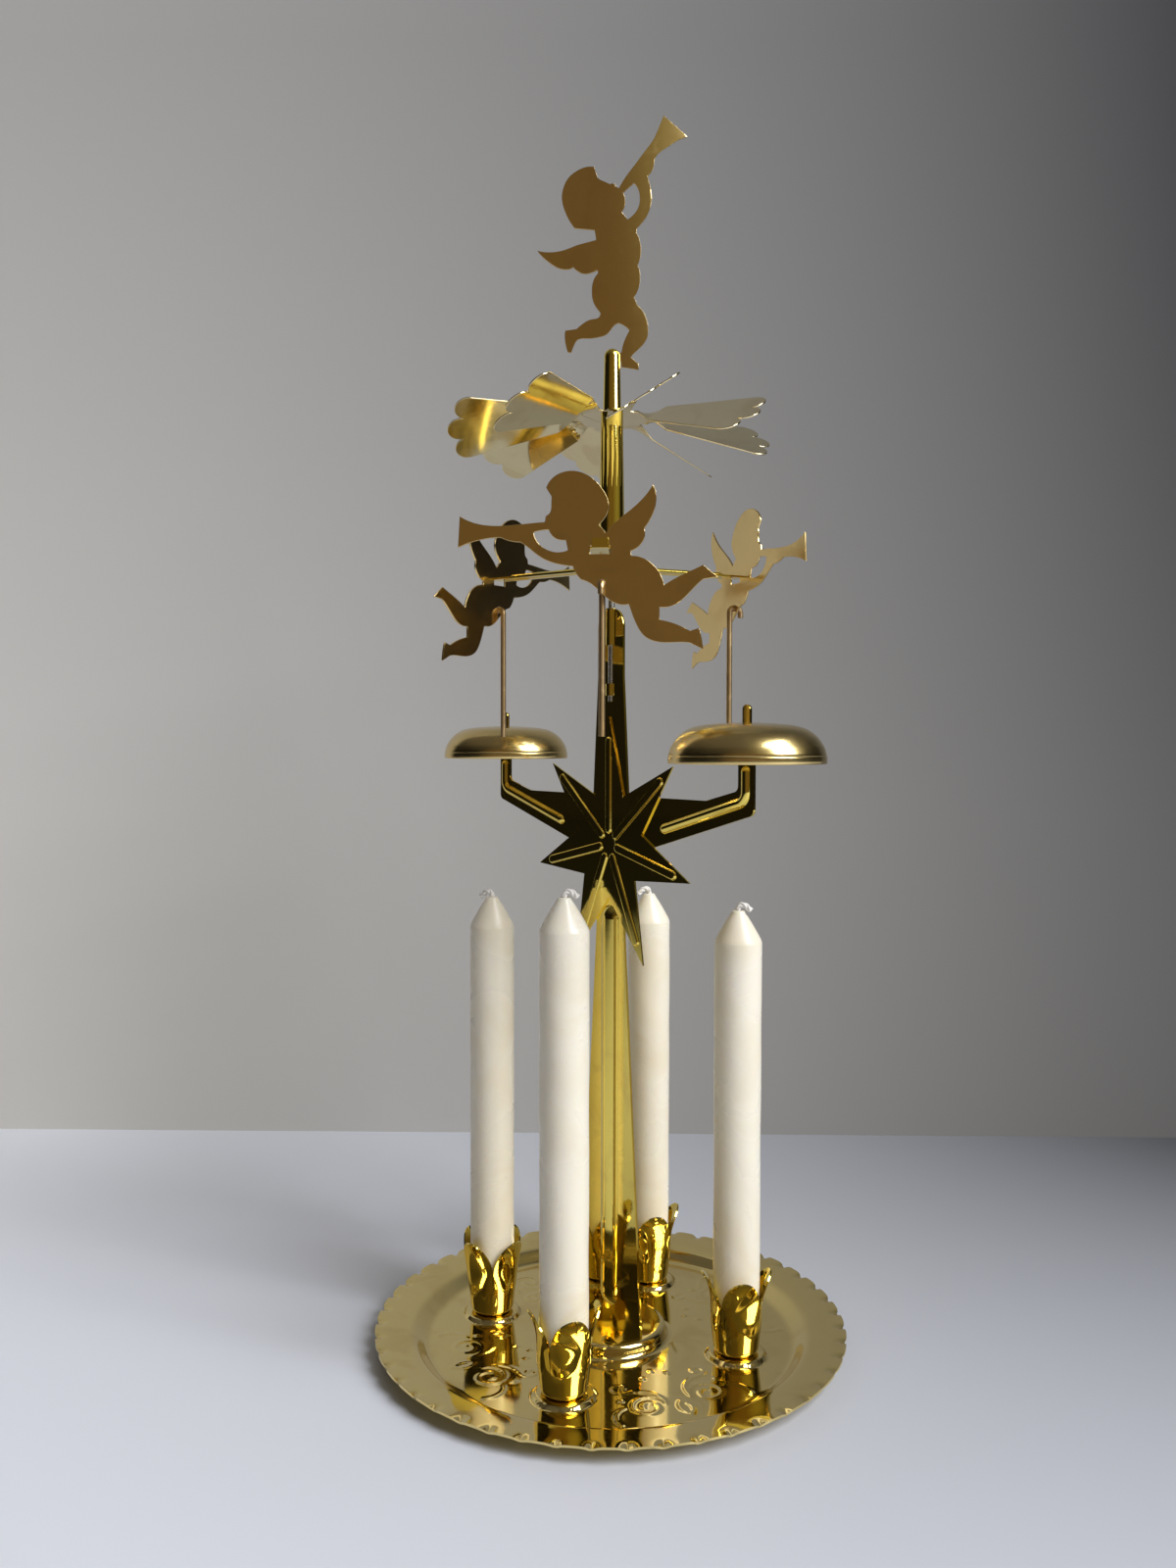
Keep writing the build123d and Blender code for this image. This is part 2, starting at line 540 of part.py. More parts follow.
def arm_rib_path(side):
    """The line of an arm's rib: along the arm, round a bend and up the stem."""
    run = BELL_REACH + STEM_HALF_WIDTH - PLATE_WAIST_HALF_WIDTH
    slope = (ARM_CORNER_HEIGHT - ARM_LOW_HEIGHT) / run
    corner_height = ARM_RIB_START_HEIGHT + slope * (BELL_REACH - ARM_RIB_START_REACH)
    return FilletPolyline((side * ARM_RIB_START_REACH, 0, ARM_RIB_START_HEIGHT),
                          (side * BELL_REACH, 0, corner_height),
                          (side * BELL_REACH, 0, ARM_RIB_END_HEIGHT), radius=ARM_RIB_BEND_RADIUS)


def needle_bow(low, high, side):
    """Half a tube round the needle, pressed out of the blade to the front (-1) or the back (1)."""
    inner = NEEDLE_RADIUS + RUNNING_GAP
    outer = inner + PLATE_SHEET
    ring = disc(outer, low, high) - disc(inner, low, high)
    return ring & block(2 * outer, outer, low, high, y=side * outer / 2)


def needle_seat(plate):
    """The blade with a slot for the needle and three bows that hold it in the blade's plane."""
    inner = NEEDLE_RADIUS + RUNNING_GAP
    plate -= block(2 * inner, CUT_OVERRUN, NEEDLE_LOW_HEIGHT, BLADE_TOP_HEIGHT + CUT_OVERRUN)
    plate += needle_bow(LOW_BOW_HEIGHT, BACK_BOW_HEIGHT - LOOSE_GAP, -1)
    plate += needle_bow(BACK_BOW_HEIGHT, TOP_BOW_HEIGHT - LOOSE_GAP, 1)
    plate += needle_bow(TOP_BOW_HEIGHT, BLADE_TOP_HEIGHT, -1)
    return plate


def foot_tab(side):
    """A tab that goes down through the tray's boss and is folded under it."""
    under = BOSS_TOP - TRAY_SHEET - RUNNING_GAP
    down = block(TAB_WIDTH, PLATE_SHEET, under - PLATE_SHEET, BOSS_TOP, x=side * TAB_REACH)
    fold = block(TAB_WIDTH, TAB_FOLD, under - PLATE_SHEET, under, x=side * TAB_REACH,
                 y=(TAB_FOLD - PLATE_SHEET) / 2)
    return down + fold


def column_plate():
    """The column: lower blade, two bell arms and upper blade, all cut from one sheet."""
    plate = upright(plate_outline(1), PLATE_SHEET) + upright(plate_outline(-1), PLATE_SHEET)
    spine = Line((0, 0, SPINE_LOW_HEIGHT), (0, 0, SPINE_TOP_HEIGHT))
    plate = ribbed(plate, [spine], SPINE_HALF_WIDTH, SPINE_RISE, PLATE_SHEET, PLATE_FRONT)
    arm_ribs = [arm_rib_path(1), arm_rib_path(-1)]
    plate = ribbed(plate, arm_ribs, ARM_RIB_HALF_WIDTH, ARM_RIB_RISE, PLATE_SHEET, PLATE_FRONT)
    plate = needle_seat(plate)
    for side in (-1, 1):
        plate += foot_tab(side)
    return turned(plate, PLATE_DIRECTION)


def star_point(radius, direction):
    """A point of the star's plane, at a radius from its middle and a direction from the top."""
    turn = radians(direction)
    return (radius * sin(turn), 0, STAR_CENTRE_HEIGHT + radius * cos(turn))


def star_plate():
    """The seven-pointed star, flat on the column's front, with a rib along each point."""
    step = 360 / STAR_POINTS
    corners = []
    ribs = []
    for index in range(STAR_POINTS):
        corners.append(star_point(STAR_RADIUS, index * step))
        corners.append(star_point(STAR_NOTCH_RADIUS, (index + 1 / 2) * step))
        ribs.append(Line(star_point(STAR_RIB_START_RADIUS, index * step), star_point(STAR_RIB_END_RADIUS, index * step)))
    front = PLATE_FRONT - STAR_SHEET
    star = upright(make_face(Polyline(*corners, close=True)), STAR_SHEET, front + STAR_SHEET / 2)
    star = ribbed(star, ribs, STAR_RIB_HALF_WIDTH, STAR_RIB_RISE, STAR_SHEET, front)
    return turned(star, PLATE_DIRECTION)


def needle():
    """The steel pin whose point carries the rotor."""
    tip = TUBE_CEILING - RUNNING_GAP
    shoulder = tip - NEEDLE_POINT_LENGTH
    return spun([(0, NEEDLE_LOW_HEIGHT), (NEEDLE_RADIUS, NEEDLE_LOW_HEIGHT),
                 (NEEDLE_RADIUS, shoulder), (0, tip)])


# Bells

def dome(radius, height):
    """A solid dome with an upright skirt, a round shoulder and a nearly flat crown."""
    points = [(radius * across, 0, height * up) for across, up in BELL_CURVE_SHARES]
    curve = Spline(*points, tangents=((0, 0, 1), (-1, 0, 0)))
    rest = Polyline(points[-1], (0, 0, 0), (radius, 0, 0), points[0])
    return revolve(make_face(Wire([curve, *rest.edges()])), Axis.Z)


def bell():
    """A shallow bell with a hole for its peg, its rim at the origin's height."""
    shell = dome(BELL_RADIUS, BELL_HEIGHT) - dome(BELL_RADIUS - BELL_SHEET, BELL_HEIGHT - BELL_SHEET)
    peg_corner = sqrt(PEG_HALF_WIDTH ** 2 + (PLATE_SHEET / 2) ** 2)
    return shell - disc(peg_corner + RUNNING_GAP, 0, BELL_HEIGHT + CUT_OVERRUN)


# Rotor

def tube_radius(height):
    """Outer radius of the tube's tapered lower part at a height."""
    share = (height - TUBE_LOW_HEIGHT) / (TUBE_HUB_HEIGHT - TUBE_LOW_HEIGHT)
    return TUBE_LOW_RADIUS + (TUBE_HUB_RADIUS - TUBE_LOW_RADIUS) * share


def rotor_tube():
    """The tapered tube with a closed domed top, a hub step and a lip at its foot."""
    neck = TUBE_HUB_RADIUS - TUBE_STEP
    dome_start = TUBE_TOP_HEIGHT - TUBE_TOP_RADIUS
    outer = spun([(0, TUBE_LOW_HEIGHT), (TUBE_LIP_RADIUS, TUBE_LOW_HEIGHT),
                  (TUBE_LIP_RADIUS, TUBE_LOW_HEIGHT + TUBE_LIP_HEIGHT),
                  (tube_radius(TUBE_LOW_HEIGHT + TUBE_LIP_HEIGHT), TUBE_LOW_HEIGHT + TUBE_LIP_HEIGHT),
                  (TUBE_HUB_RADIUS, TUBE_HUB_HEIGHT), (neck, TUBE_HUB_HEIGHT),
                  (TUBE_TOP_RADIUS, dome_start), (0, dome_start)])
    outer += Pos(0, 0, dome_start) * Sphere(TUBE_TOP_RADIUS)
    step_end = TUBE_HUB_HEIGHT - TUBE_WALL
    bore_top = TUBE_TOP_RADIUS - TUBE_WALL
    inner = spun([(0, TUBE_LOW_HEIGHT), (TUBE_LOW_RADIUS - TUBE_WALL, TUBE_LOW_HEIGHT),
                  (tube_radius(step_end) - TUBE_WALL, step_end), (neck - TUBE_WALL, step_end),
                  (bore_top, dome_start), (0, dome_start)])
    inner += Pos(0, 0, dome_start) * Sphere(bore_top)
    slit = block(2 * TUBE_TOP_RADIUS, ANGEL_SHEET + RUNNING_GAP, TAB_LOW - RUNNING_GAP,
                 TAB_LOW + TOP_ANGEL_TAB_HEIGHT + RUNNING_GAP, x=TUBE_TOP_RADIUS)
    return outer - inner - turned(slit, TOP_ANGEL_DIRECTION)


def blade_fan():
    """The flat outer part of a blade along +X, with its lobed end, before it is pitched."""
    corner, crest, notch, middle = [
        (TURBINE_RADIUS * along, BLADE_OUTER_HALF_WIDTH * across) for along, across in BLADE_LOBE_SHARES
    ]
    root = (BLADE_TWIST_END, BLADE_INNER_HALF_WIDTH)
    low_root, low_corner, low_crest, low_notch = [(x, -y) for x, y in (root, corner, crest, notch)]
    edges = [
        Line(root, corner),
        ThreePointArc(corner, crest, notch),
        ThreePointArc(notch, middle, low_notch),
        ThreePointArc(low_notch, low_crest, low_corner),
        Line(low_corner, low_root),
        Line(low_root, root),
    ]
    return extrude(make_face(Wire(edges)), TURBINE_SHEET / 2, both=True)


def bent(shape):
    """A flat shape along +X, pitched and drooped about the end of the blade's level root."""
    shape = Pos(-BLADE_TWIST_START, 0, 0) * shape
    shape = shape.rotate(Axis.X, BLADE_PITCH_DEGREES).rotate(Axis.Y, BLADE_DROOP_DEGREES)
    return Pos(BLADE_TWIST_START, 0, 0) * shape


def neck_section(place, half_width):
    """The blade's cross-section at a place along +X, before it is bent."""
    plane = Plane(origin=(place, 0, 0), x_dir=(0, 1, 0), z_dir=(1, 0, 0))
    return plane * Rectangle(2 * half_width, TURBINE_SHEET)


def turbine_blade():
    """One blade along +X: a level root, a twisted neck and a pitched fan."""
    root = Pos(BLADE_TWIST_START / 2, 0, 0) * Box(BLADE_TWIST_START, 2 * BLADE_NECK_HALF_WIDTH,
                                                  TURBINE_SHEET)
    neck = loft([neck_section(BLADE_TWIST_START, BLADE_NECK_HALF_WIDTH),
                 bent(neck_section(BLADE_TWIST_END, BLADE_INNER_HALF_WIDTH))], ruled=True)
    return bent(blade_fan()) + neck + root


def turbine_wheel():
    """The turbine: a small hub disc and eight pitched blades."""
    blade = turbine_blade()
    wheel = disc(TURBINE_HUB_RADIUS, -TURBINE_SHEET / 2, TURBINE_SHEET / 2)
    blades = [turned(blade, BLADE_DIRECTION + index * 360 / BLADE_COUNT) for index in range(BLADE_COUNT)]
    wheel = wheel.fuse(*blades).clean()
    wheel -= Cylinder(TUBE_HUB_RADIUS - TUBE_STEP + RUNNING_GAP, CUT_OVERRUN)
    return Pos(0, 0, TUBE_HUB_HEIGHT + TURBINE_SHEET / 2) * wheel


def carrier_rib():
    """The outer and inner bars of an arm's rib, along +X."""
    radius = rib_radius(CARRIER_RIB_HALF_WIDTH, CARRIER_RIB_RISE)
    height = CARRIER_TOP + CARRIER_RIB_RISE - radius
    start = CARRIER_HUB_RADIUS + CARRIER_ARM_HALF_WIDTH
    end = ANGEL_CIRCLE_RADIUS - 2 * CARRIER_ARM_HALF_WIDTH
    path = Line((start, 0, height), (end, 0, height))
    below = block(ANGEL_CIRCLE_RADIUS, CUT_OVERRUN, CARRIER_LOW - CUT_OVERRUN, CARRIER_LOW,
                  x=ANGEL_CIRCLE_RADIUS / 2)
    return round_bar(path, radius) - below, round_bar(path, radius - CARRIER_SHEET)


def carrier_arm():
    """One strip arm along +X with a rib, ending in a neck and an upturned tongue."""
    neck_start = ANGEL_CIRCLE_RADIUS - ANGEL_SHEET / 2 - RUNNING_GAP
    neck_end = ANGEL_CIRCLE_RADIUS + ANGEL_SHEET / 2 + RUNNING_GAP
    tongue_end = neck_end + CARRIER_SHEET
    strip = block(neck_start, 2 * CARRIER_ARM_HALF_WIDTH, CARRIER_LOW, CARRIER_TOP, x=neck_start / 2)
    neck = block(tongue_end - neck_start, 2 * CARRIER_NECK_HALF_WIDTH, CARRIER_LOW, CARRIER_TOP,
                 x=(tongue_end + neck_start) / 2)
    tongue = block(CARRIER_SHEET, 2 * CARRIER_NECK_HALF_WIDTH, CARRIER_LOW,
                   CARRIER_TOP + CARRIER_TONGUE_RISE, x=neck_end + CARRIER_SHEET / 2)
    raised, hollow = carrier_rib()
    return strip + raised + neck + tongue - hollow


def angel_carrier():
    """Three strip arms on a hub ring that sits on the tube's lip."""
    ring = disc(CARRIER_HUB_RADIUS, CARRIER_LOW, CARRIER_TOP)
    arm = carrier_arm()
    for index in range(ANGEL_COUNT):
        ring += turned(arm, ARM_DIRECTION + index * 360 / ANGEL_COUNT)
    return ring - disc(tube_radius(CARRIER_LOW) + RUNNING_GAP, CARRIER_LOW - CUT_OVERRUN,
                       CARRIER_TOP + CUT_OVERRUN)


def flying_angel():
    """A flying angel with its hanging slot and striker hole, at its place on the -Y side."""
    y = -ANGEL_CIRCLE_RADIUS
    face = drawn(ANGEL_START_SHARE, ANGEL_STROKE_SHARES, ANGEL_SPAN)
    face -= drawn(ELBOW_START_SHARE, ELBOW_STROKE_SHARES, ANGEL_SPAN)
    angel = upright(face, ANGEL_SHEET)
    slot_x, slot_z = [share * ANGEL_SPAN for share in SLOT_CENTRE_SHARE]
    angel -= Pos(slot_x, 0, slot_z) * Box(SLOT_WIDTH, CUT_OVERRUN, SLOT_HEIGHT)
    eye_x, eye_z = [share * ANGEL_SPAN for share in EYE_SHARE]
    eye = Cylinder(STRIKER_RADIUS + LOOSE_GAP, CUT_OVERRUN).rotate(Axis.X, 90)
    angel -= Pos(eye_x, 0, eye_z) * eye
    return Pos(-slot_x, y, ANGEL_HEIGHT) * angel


def striker():
    """The wire of the angel on the -Y side: a tail, a hook through the eye and a long drop."""
    eye_x = (EYE_SHARE[0] - SLOT_CENTRE_SHARE[0]) * ANGEL_SPAN
    eye_z = ANGEL_HEIGHT + EYE_SHARE[1] * ANGEL_SPAN
    outside = -ANGEL_CIRCLE_RADIUS - STRIKER_STAND_OFF
    inside = -ANGEL_CIRCLE_RADIUS + STRIKER_STAND_OFF
    path = FilletPolyline((eye_x, outside, eye_z - STRIKER_TAIL), (eye_x, outside, eye_z),
                          (eye_x, inside, eye_z), (eye_x, inside, STRIKER_LOW_HEIGHT),
                          radius=STRIKER_BEND_RADIUS)
    return sweep(Plane(origin=path @ 0, z_dir=path % 0) * Circle(STRIKER_RADIUS), path)


def top_angel():
    """The angel on the tube's top: it stands on one foot, and a tab holds it in the tube's slit."""
    face = drawn(TOP_ANGEL_START_SHARE, TOP_ANGEL_STROKE_SHARES, TOP_ANGEL_SIZE)
    face -= drawn(TOP_ELBOW_START_SHARE, TOP_ELBOW_STROKE_SHARES, TOP_ANGEL_SIZE)
    sheet = Pos(0, 0, TOP_ANGEL_FOOT_HEIGHT) * upright(face, ANGEL_SHEET)
    tab_start = TUBE_TOP_RADIUS - TUBE_WALL
    tab = block(TOP_ANGEL_TAB_LENGTH, ANGEL_SHEET, TAB_LOW, TAB_LOW + TOP_ANGEL_TAB_HEIGHT,
                x=tab_start + TOP_ANGEL_TAB_LENGTH / 2)
    return turned(sheet + tab, TOP_ANGEL_DIRECTION)


# Assembly

def lower_pieces():
    """Tray, holders, eyelets, candles and wicks, by node name."""
    lengths = {"front": FRONT_CANDLE_LENGTH, "right": RIGHT_CANDLE_LENGTH,
               "back": BACK_CANDLE_LENGTH, "left": LEFT_CANDLE_LENGTH}
    nodes = {"tray": tray()}
    holder = candle_holder()
    eyelets = []
    for name, direction in CANDLE_DIRECTIONS.items():
        x, y = at_direction(CANDLE_CIRCLE_RADIUS, direction)
        length = lengths[name]
        nodes[f"candle_holder_{name}"] = Pos(x, y, SEAT_TOP) * turned(holder, PETAL_DIRECTIONS[name])
        nodes[f"candle_{name}"] = Pos(x, y, CANDLE_FOOT) * candle(length)
        nodes[f"wick_{name}"] = Pos(x, y, CANDLE_FOOT) * turned(wick(length), WICK_DIRECTIONS[name])
        eyelets.append(Pos(x, y, 0) * holder_eyelet())
    nodes["holder_eyelets"] = Compound(children=eyelets)
    return nodes


def column_pieces():
    """Column plate, star, needle and bells, by node name."""
    nodes = {"column_plate": column_plate(), "star_plate": star_plate(), "needle": needle()}
    for name, side in (("right", 1), ("left", -1)):
        placed = Pos(side * BELL_REACH, 0, BELL_RIM_HEIGHT) * bell()
        nodes[f"bell_{name}"] = turned(placed, PLATE_DIRECTION)
    return nodes


def rotor_pieces():
    """Tube, turbine, carrier, angels and strikers, by node name."""
    nodes = {"rotor_tube": rotor_tube(), "turbine_wheel": turbine_wheel(),
             "angel_carrier": angel_carrier(), "top_angel": top_angel()}
    for index, name in enumerate(("front", "right", "left")):
        direction = ARM_DIRECTION - 270 + index * 360 / ANGEL_COUNT
        nodes[f"angel_{name}"] = turned(flying_angel(), direction)
        nodes[f"striker_{name}"] = turned(striker(), direction)
    return nodes


def main():
    """Builds every piece and writes one file for each."""
    os.makedirs("parts", exist_ok=True)
    nodes = lower_pieces() | column_pieces() | rotor_pieces()
    for name, shape in nodes.items():
        export_step(shape, f"parts/{name}.step")
        print(name, round(shape.volume, 1))


main()
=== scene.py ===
# %% [markdown]
# # An angel chime carousel in stamped brass
# Four candles warm the air, a turbine turns in it, and the angels' wires ring two bells.
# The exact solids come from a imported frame. This lesson adds the camera, the light, the
# finishes, and finer pieces where the solids are too plain.

# %% Load the frame
import math
import random
import bpy
import numpy as np
from mathutils import Matrix, Vector


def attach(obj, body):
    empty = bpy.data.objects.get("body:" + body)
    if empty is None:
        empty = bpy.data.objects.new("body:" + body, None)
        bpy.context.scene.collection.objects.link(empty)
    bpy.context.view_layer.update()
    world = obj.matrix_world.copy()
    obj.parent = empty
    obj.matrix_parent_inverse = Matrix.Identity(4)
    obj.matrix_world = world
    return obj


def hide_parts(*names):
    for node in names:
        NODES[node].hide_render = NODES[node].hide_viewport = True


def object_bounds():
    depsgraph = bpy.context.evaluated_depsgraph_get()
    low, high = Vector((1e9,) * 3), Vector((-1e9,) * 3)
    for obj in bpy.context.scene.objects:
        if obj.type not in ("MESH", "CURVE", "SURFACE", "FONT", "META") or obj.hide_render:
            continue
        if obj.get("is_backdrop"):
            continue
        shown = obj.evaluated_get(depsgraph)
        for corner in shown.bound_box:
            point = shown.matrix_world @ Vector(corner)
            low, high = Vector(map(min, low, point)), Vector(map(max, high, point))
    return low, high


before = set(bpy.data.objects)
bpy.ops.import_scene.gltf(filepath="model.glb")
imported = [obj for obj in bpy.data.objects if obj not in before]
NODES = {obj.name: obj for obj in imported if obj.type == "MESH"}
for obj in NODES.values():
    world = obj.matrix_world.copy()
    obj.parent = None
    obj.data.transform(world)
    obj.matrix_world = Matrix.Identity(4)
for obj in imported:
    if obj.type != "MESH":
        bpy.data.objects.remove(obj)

cad_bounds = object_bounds()
MM = 0.001
FULL_TURN = 2 * math.pi
QUARTER_TURN = math.pi / 2
print("pieces in the frame:", len(NODES), "lowest and highest corner:", cad_bounds)

# %% [markdown]
# ## Camera
# The photograph was taken from 30 cm in front of the column, at half its height, with the
# lens tipped down by two degrees. Three angles could be typed into the camera, but they mix.
# Here its axes are worked out one from the other, so that the small roll stays apart.

# %% Set the camera
IMAGE_HEIGHT_PIXELS = 1600
FOCAL_PIXELS = 1274.3
SENSOR = 36.0
NEAREST_SEEN = 0.01
CAMERA_PLACE = Vector((0.0, -0.3035, 0.1465))
PITCH, ROLL, YAW = -0.03467, 0.00168, -0.01856

forward = Vector((math.sin(YAW) * math.cos(PITCH), math.cos(YAW) * math.cos(PITCH), math.sin(PITCH)))
level_right = forward.cross(Vector((0, 0, 1))).normalized()
level_up = level_right.cross(forward)
right = math.cos(ROLL) * level_right + math.sin(ROLL) * level_up
up = right.cross(forward)
camera_data = bpy.data.cameras.new("photo_camera")
camera_data.sensor_width = SENSOR
camera_data.lens = SENSOR * FOCAL_PIXELS / IMAGE_HEIGHT_PIXELS
camera_data.clip_start = NEAREST_SEEN
camera = bpy.data.objects.new("photo_camera", camera_data)
bpy.context.scene.collection.objects.link(camera)
camera_turn = Matrix((right, up, -forward)).transposed().to_4x4()
camera.matrix_world = Matrix.Translation(CAMERA_PLACE) @ camera_turn
bpy.context.scene.camera = camera
bpy.context.scene.view_settings.view_transform = "Standard"
print("lens in mm:", round(camera_data.lens, 2))

# %% [markdown]
# ## Helpers for modelling
# Each new piece is shaped with the same tools as by hand. An operator acts on all that is
# selected, so the selection is cleared first. The helpers also save typing: they switch to
# edit mode, apply a modifier, close seams, and read or write a mesh's points.

# %% Select, edit and apply
def activate(piece):
    """Selects one object alone and makes it the active one."""
    bpy.ops.object.select_all(action="DESELECT")
    piece.select_set(True)
    bpy.context.view_layer.objects.active = piece


def edit_all(piece):
    """Opens a piece in edit mode with all of it selected."""
    activate(piece)
    bpy.ops.object.mode_set(mode="EDIT")
    bpy.ops.mesh.select_all(action="SELECT")


def apply_modifier(piece, kind, **settings):
    """Adds a modifier with its settings and applies it."""
    activate(piece)
    bpy.ops.object.modifier_add(type=kind)
    modifier = piece.modifiers[-1]
    for name, value in settings.items():
        setattr(modifier, name, value)
    bpy.ops.object.modifier_apply(modifier=modifier.name)


def smooth(piece, degrees):
    """Shades smooth, and keeps edges sharper than an angle."""
    activate(piece)
    bpy.ops.object.shade_smooth_by_angle(angle=math.radians(degrees))

# %% Close and turn a surface
SAME_PLACE = 1e-6


def close_seams(piece):
    """Merges doubled points and makes the faces agree on their outer side."""
    edit_all(piece)
    bpy.ops.mesh.remove_doubles(threshold=SAME_PLACE)
    bpy.ops.mesh.normals_make_consistent(inside=False)
    bpy.ops.object.mode_set(mode="OBJECT")


def turn_faces(piece, direction):
    """Flips an open sheet's faces if most of its area looks away from a direction."""
    lean = sum(face.normal.dot(Vector(direction)) * face.area for face in piece.data.polygons)
    if lean < 0:
        edit_all(piece)
        bpy.ops.mesh.flip_normals()
        bpy.ops.object.mode_set(mode="OBJECT")

# %% Read, write and copy a mesh
def points_of(piece):
    """A mesh's points as an array."""
    flat = np.empty(len(piece.data.vertices) * 3)
    piece.data.vertices.foreach_get("co", flat)
    return flat.reshape(-1, 3)


def set_points(piece, points):
    """Puts an array of points back into the mesh."""
    piece.data.vertices.foreach_set("co", np.asarray(points).ravel())
    piece.data.update()


def triangles(piece):
    """How many triangles a piece's faces make."""
    return sum(len(face.vertices) - 2 for face in piece.data.polygons)


def own_copy(model, name):
    """A copy of a piece with a mesh of its own."""
    copy = model.copy()
    copy.data = model.data.copy()
    copy.name = name
    bpy.context.scene.collection.objects.link(copy)
    return copy


def place_copy(model, name, direction, place):
    """A copy whose mesh is turned and moved, so that its object stays at the origin."""
    copy = own_copy(model, name)
    turn = Matrix.Rotation(math.radians(direction), 4, "Z")
    copy.data.transform(Matrix.Translation(Vector(place) * MM) @ turn)
    return copy

# %% [markdown]
# Most pieces here were turned or stamped round an axis. A lathe of rings could be typed in
# as a mesh. By hand it is quicker to draw half of the outline as a chain of edges and spin
# it. The chain starts as a plane that is merged to one point, and each further point is
# extruded from the last.

# %% Draw a chain and spin it
def chain(name, points):
    """A chain of edges through points of radius and height, in millimetres."""
    bpy.ops.object.select_all(action="DESELECT")
    bpy.ops.mesh.primitive_plane_add(size=MM, location=(0, 0, 0))
    piece = bpy.context.object
    piece.name = name
    edit_all(piece)
    bpy.ops.mesh.merge(type="CENTER")
    last = Vector((points[0][0] * MM, 0, points[0][1] * MM))
    bpy.ops.transform.translate(value=last)
    for radius, height in points[1:]:
        place = Vector((radius * MM, 0, height * MM))
        bpy.ops.mesh.extrude_vertices_move(TRANSFORM_OT_translate={"value": place - last})
        last = place
    bpy.ops.object.mode_set(mode="OBJECT")
    return piece


def spin(piece, steps):
    """Spins a chain a full turn round Z and closes the seam."""
    edit_all(piece)
    bpy.ops.mesh.spin(steps=steps, angle=FULL_TURN, center=(0, 0, 0), axis=(0, 0, 1))
    bpy.ops.object.mode_set(mode="OBJECT")
    close_seams(piece)
    return piece


def share_points(start, end, count):
    """Evenly spaced points after the start, up to and with the end."""
    return [tuple(a + (b - a) * i / count for a, b in zip(start, end)) for i in range(1, count + 1)]

# %% [markdown]
# ## Finishes
# Thin rolled brass is never quite flat: the sheet has long soft waves from stamping, fine
# lines from the rollers, and patches where fingers and warm candle air have dulled it. Each
# material could hold its own noise nodes. Here each effect is a node group that is built
# once, so that every brass mixes its own share of it.

# %% Build nodes with few words
def add_node(tree, kind, inputs=None, **settings):
    """Adds a shader node, sets its options, and fills or links its sockets."""
    made = tree.nodes.new(kind)
    for name, value in settings.items():
        setattr(made, name, value)
    for name, value in (inputs or {}).items():
        if isinstance(value, bpy.types.NodeSocket):
            tree.links.new(value, made.inputs[name])
        else:
            made.inputs[name].default_value = value
    return made


def math_node(tree, operation, *values):
    """The output of a math node."""
    return add_node(tree, "ShaderNodeMath", dict(enumerate(values)), operation=operation).outputs[0]


def vector_node(tree, operation, *values, output="Vector"):
    """One output of a vector math node."""
    made = add_node(tree, "ShaderNodeVectorMath", dict(enumerate(values)), operation=operation)
    return made.outputs[output]


def share_between(tree, value, low, high, least=0.0, **settings):
    """A share that goes from the least up to 1 while a value goes from low to high."""
    ends = {"Value": value, "From Min": low, "From Max": high, "To Min": least}
    return add_node(tree, "ShaderNodeMapRange", ends, **settings).outputs["Result"]


def mix_colours(tree, share, first, second):
    """A mix of two colours, of which the first may be a socket."""
    start = first if isinstance(first, bpy.types.NodeSocket) else (*first, 1)
    mix = add_node(tree, "ShaderNodeMix", {"Factor": share, "A": start, "B": (*second, 1)},
                   data_type="RGBA")
    return mix.outputs["Result"]


def bump(tree, height, distance, **normal):
    """The normal of a bump of so many millimetres, on top of another normal if one is given."""
    inputs = {"Height": height, "Distance": distance * MM, "Strength": 1.0, **normal}
    return add_node(tree, "ShaderNodeBump", inputs).outputs["Normal"]

# %% Build and use a node group
def new_group(name, sockets):
    """An empty node group with a vector input, the named inputs and one output called Mask."""
    tree = bpy.data.node_groups.new(name, "ShaderNodeTree")
    tree.interface.new_socket("Vector", in_out="INPUT", socket_type="NodeSocketVector")
    for label, value in sockets.items():
        made = tree.interface.new_socket(label, in_out="INPUT", socket_type="NodeSocketFloat")
        made.default_value = value
    tree.interface.new_socket("Mask", in_out="OUTPUT", socket_type="NodeSocketFloat")
    return tree, tree.nodes.new("NodeGroupInput").outputs, tree.nodes.new("NodeGroupOutput")


def use_group(tree, group, vector, **inputs):
    """Places a group in a material, and gives its output."""
    made = add_node(tree, "ShaderNodeGroup", {"Vector": vector, **inputs}, node_tree=group)
    return made.outputs["Mask"]

# %% Group: soft waves of a stamped sheet
sheet_waves, given, result = new_group("Sheet waves", {"Scale": 60.0})
broad = add_node(sheet_waves, "ShaderNodeTexNoise",
                 {"Vector": given["Vector"], "Scale": given["Scale"], "Detail": 1.0, "Roughness": 0.4})
sheet_waves.links.new(broad.outputs["Fac"], result.inputs["Mask"])
print("waves:", [item.name for item in sheet_waves.interface.items_tree])

# %% Group: fine lines from rolling or turning
rolling_lines, given, result = new_group("Rolling lines", {"Scale": 900.0, "Stretch": 0.03})
stretch = add_node(rolling_lines, "ShaderNodeCombineXYZ", {"X": given["Stretch"], "Y": 1.0, "Z": 1.0})
along = vector_node(rolling_lines, "MULTIPLY", given["Vector"], stretch.outputs[0])
streaks = add_node(rolling_lines, "ShaderNodeTexNoise",
                   {"Vector": along, "Scale": given["Scale"], "Detail": 3.0, "Roughness": 0.65})
rolling_lines.links.new(streaks.outputs["Fac"], result.inputs["Mask"])
print("lines:", [item.name for item in rolling_lines.interface.items_tree])

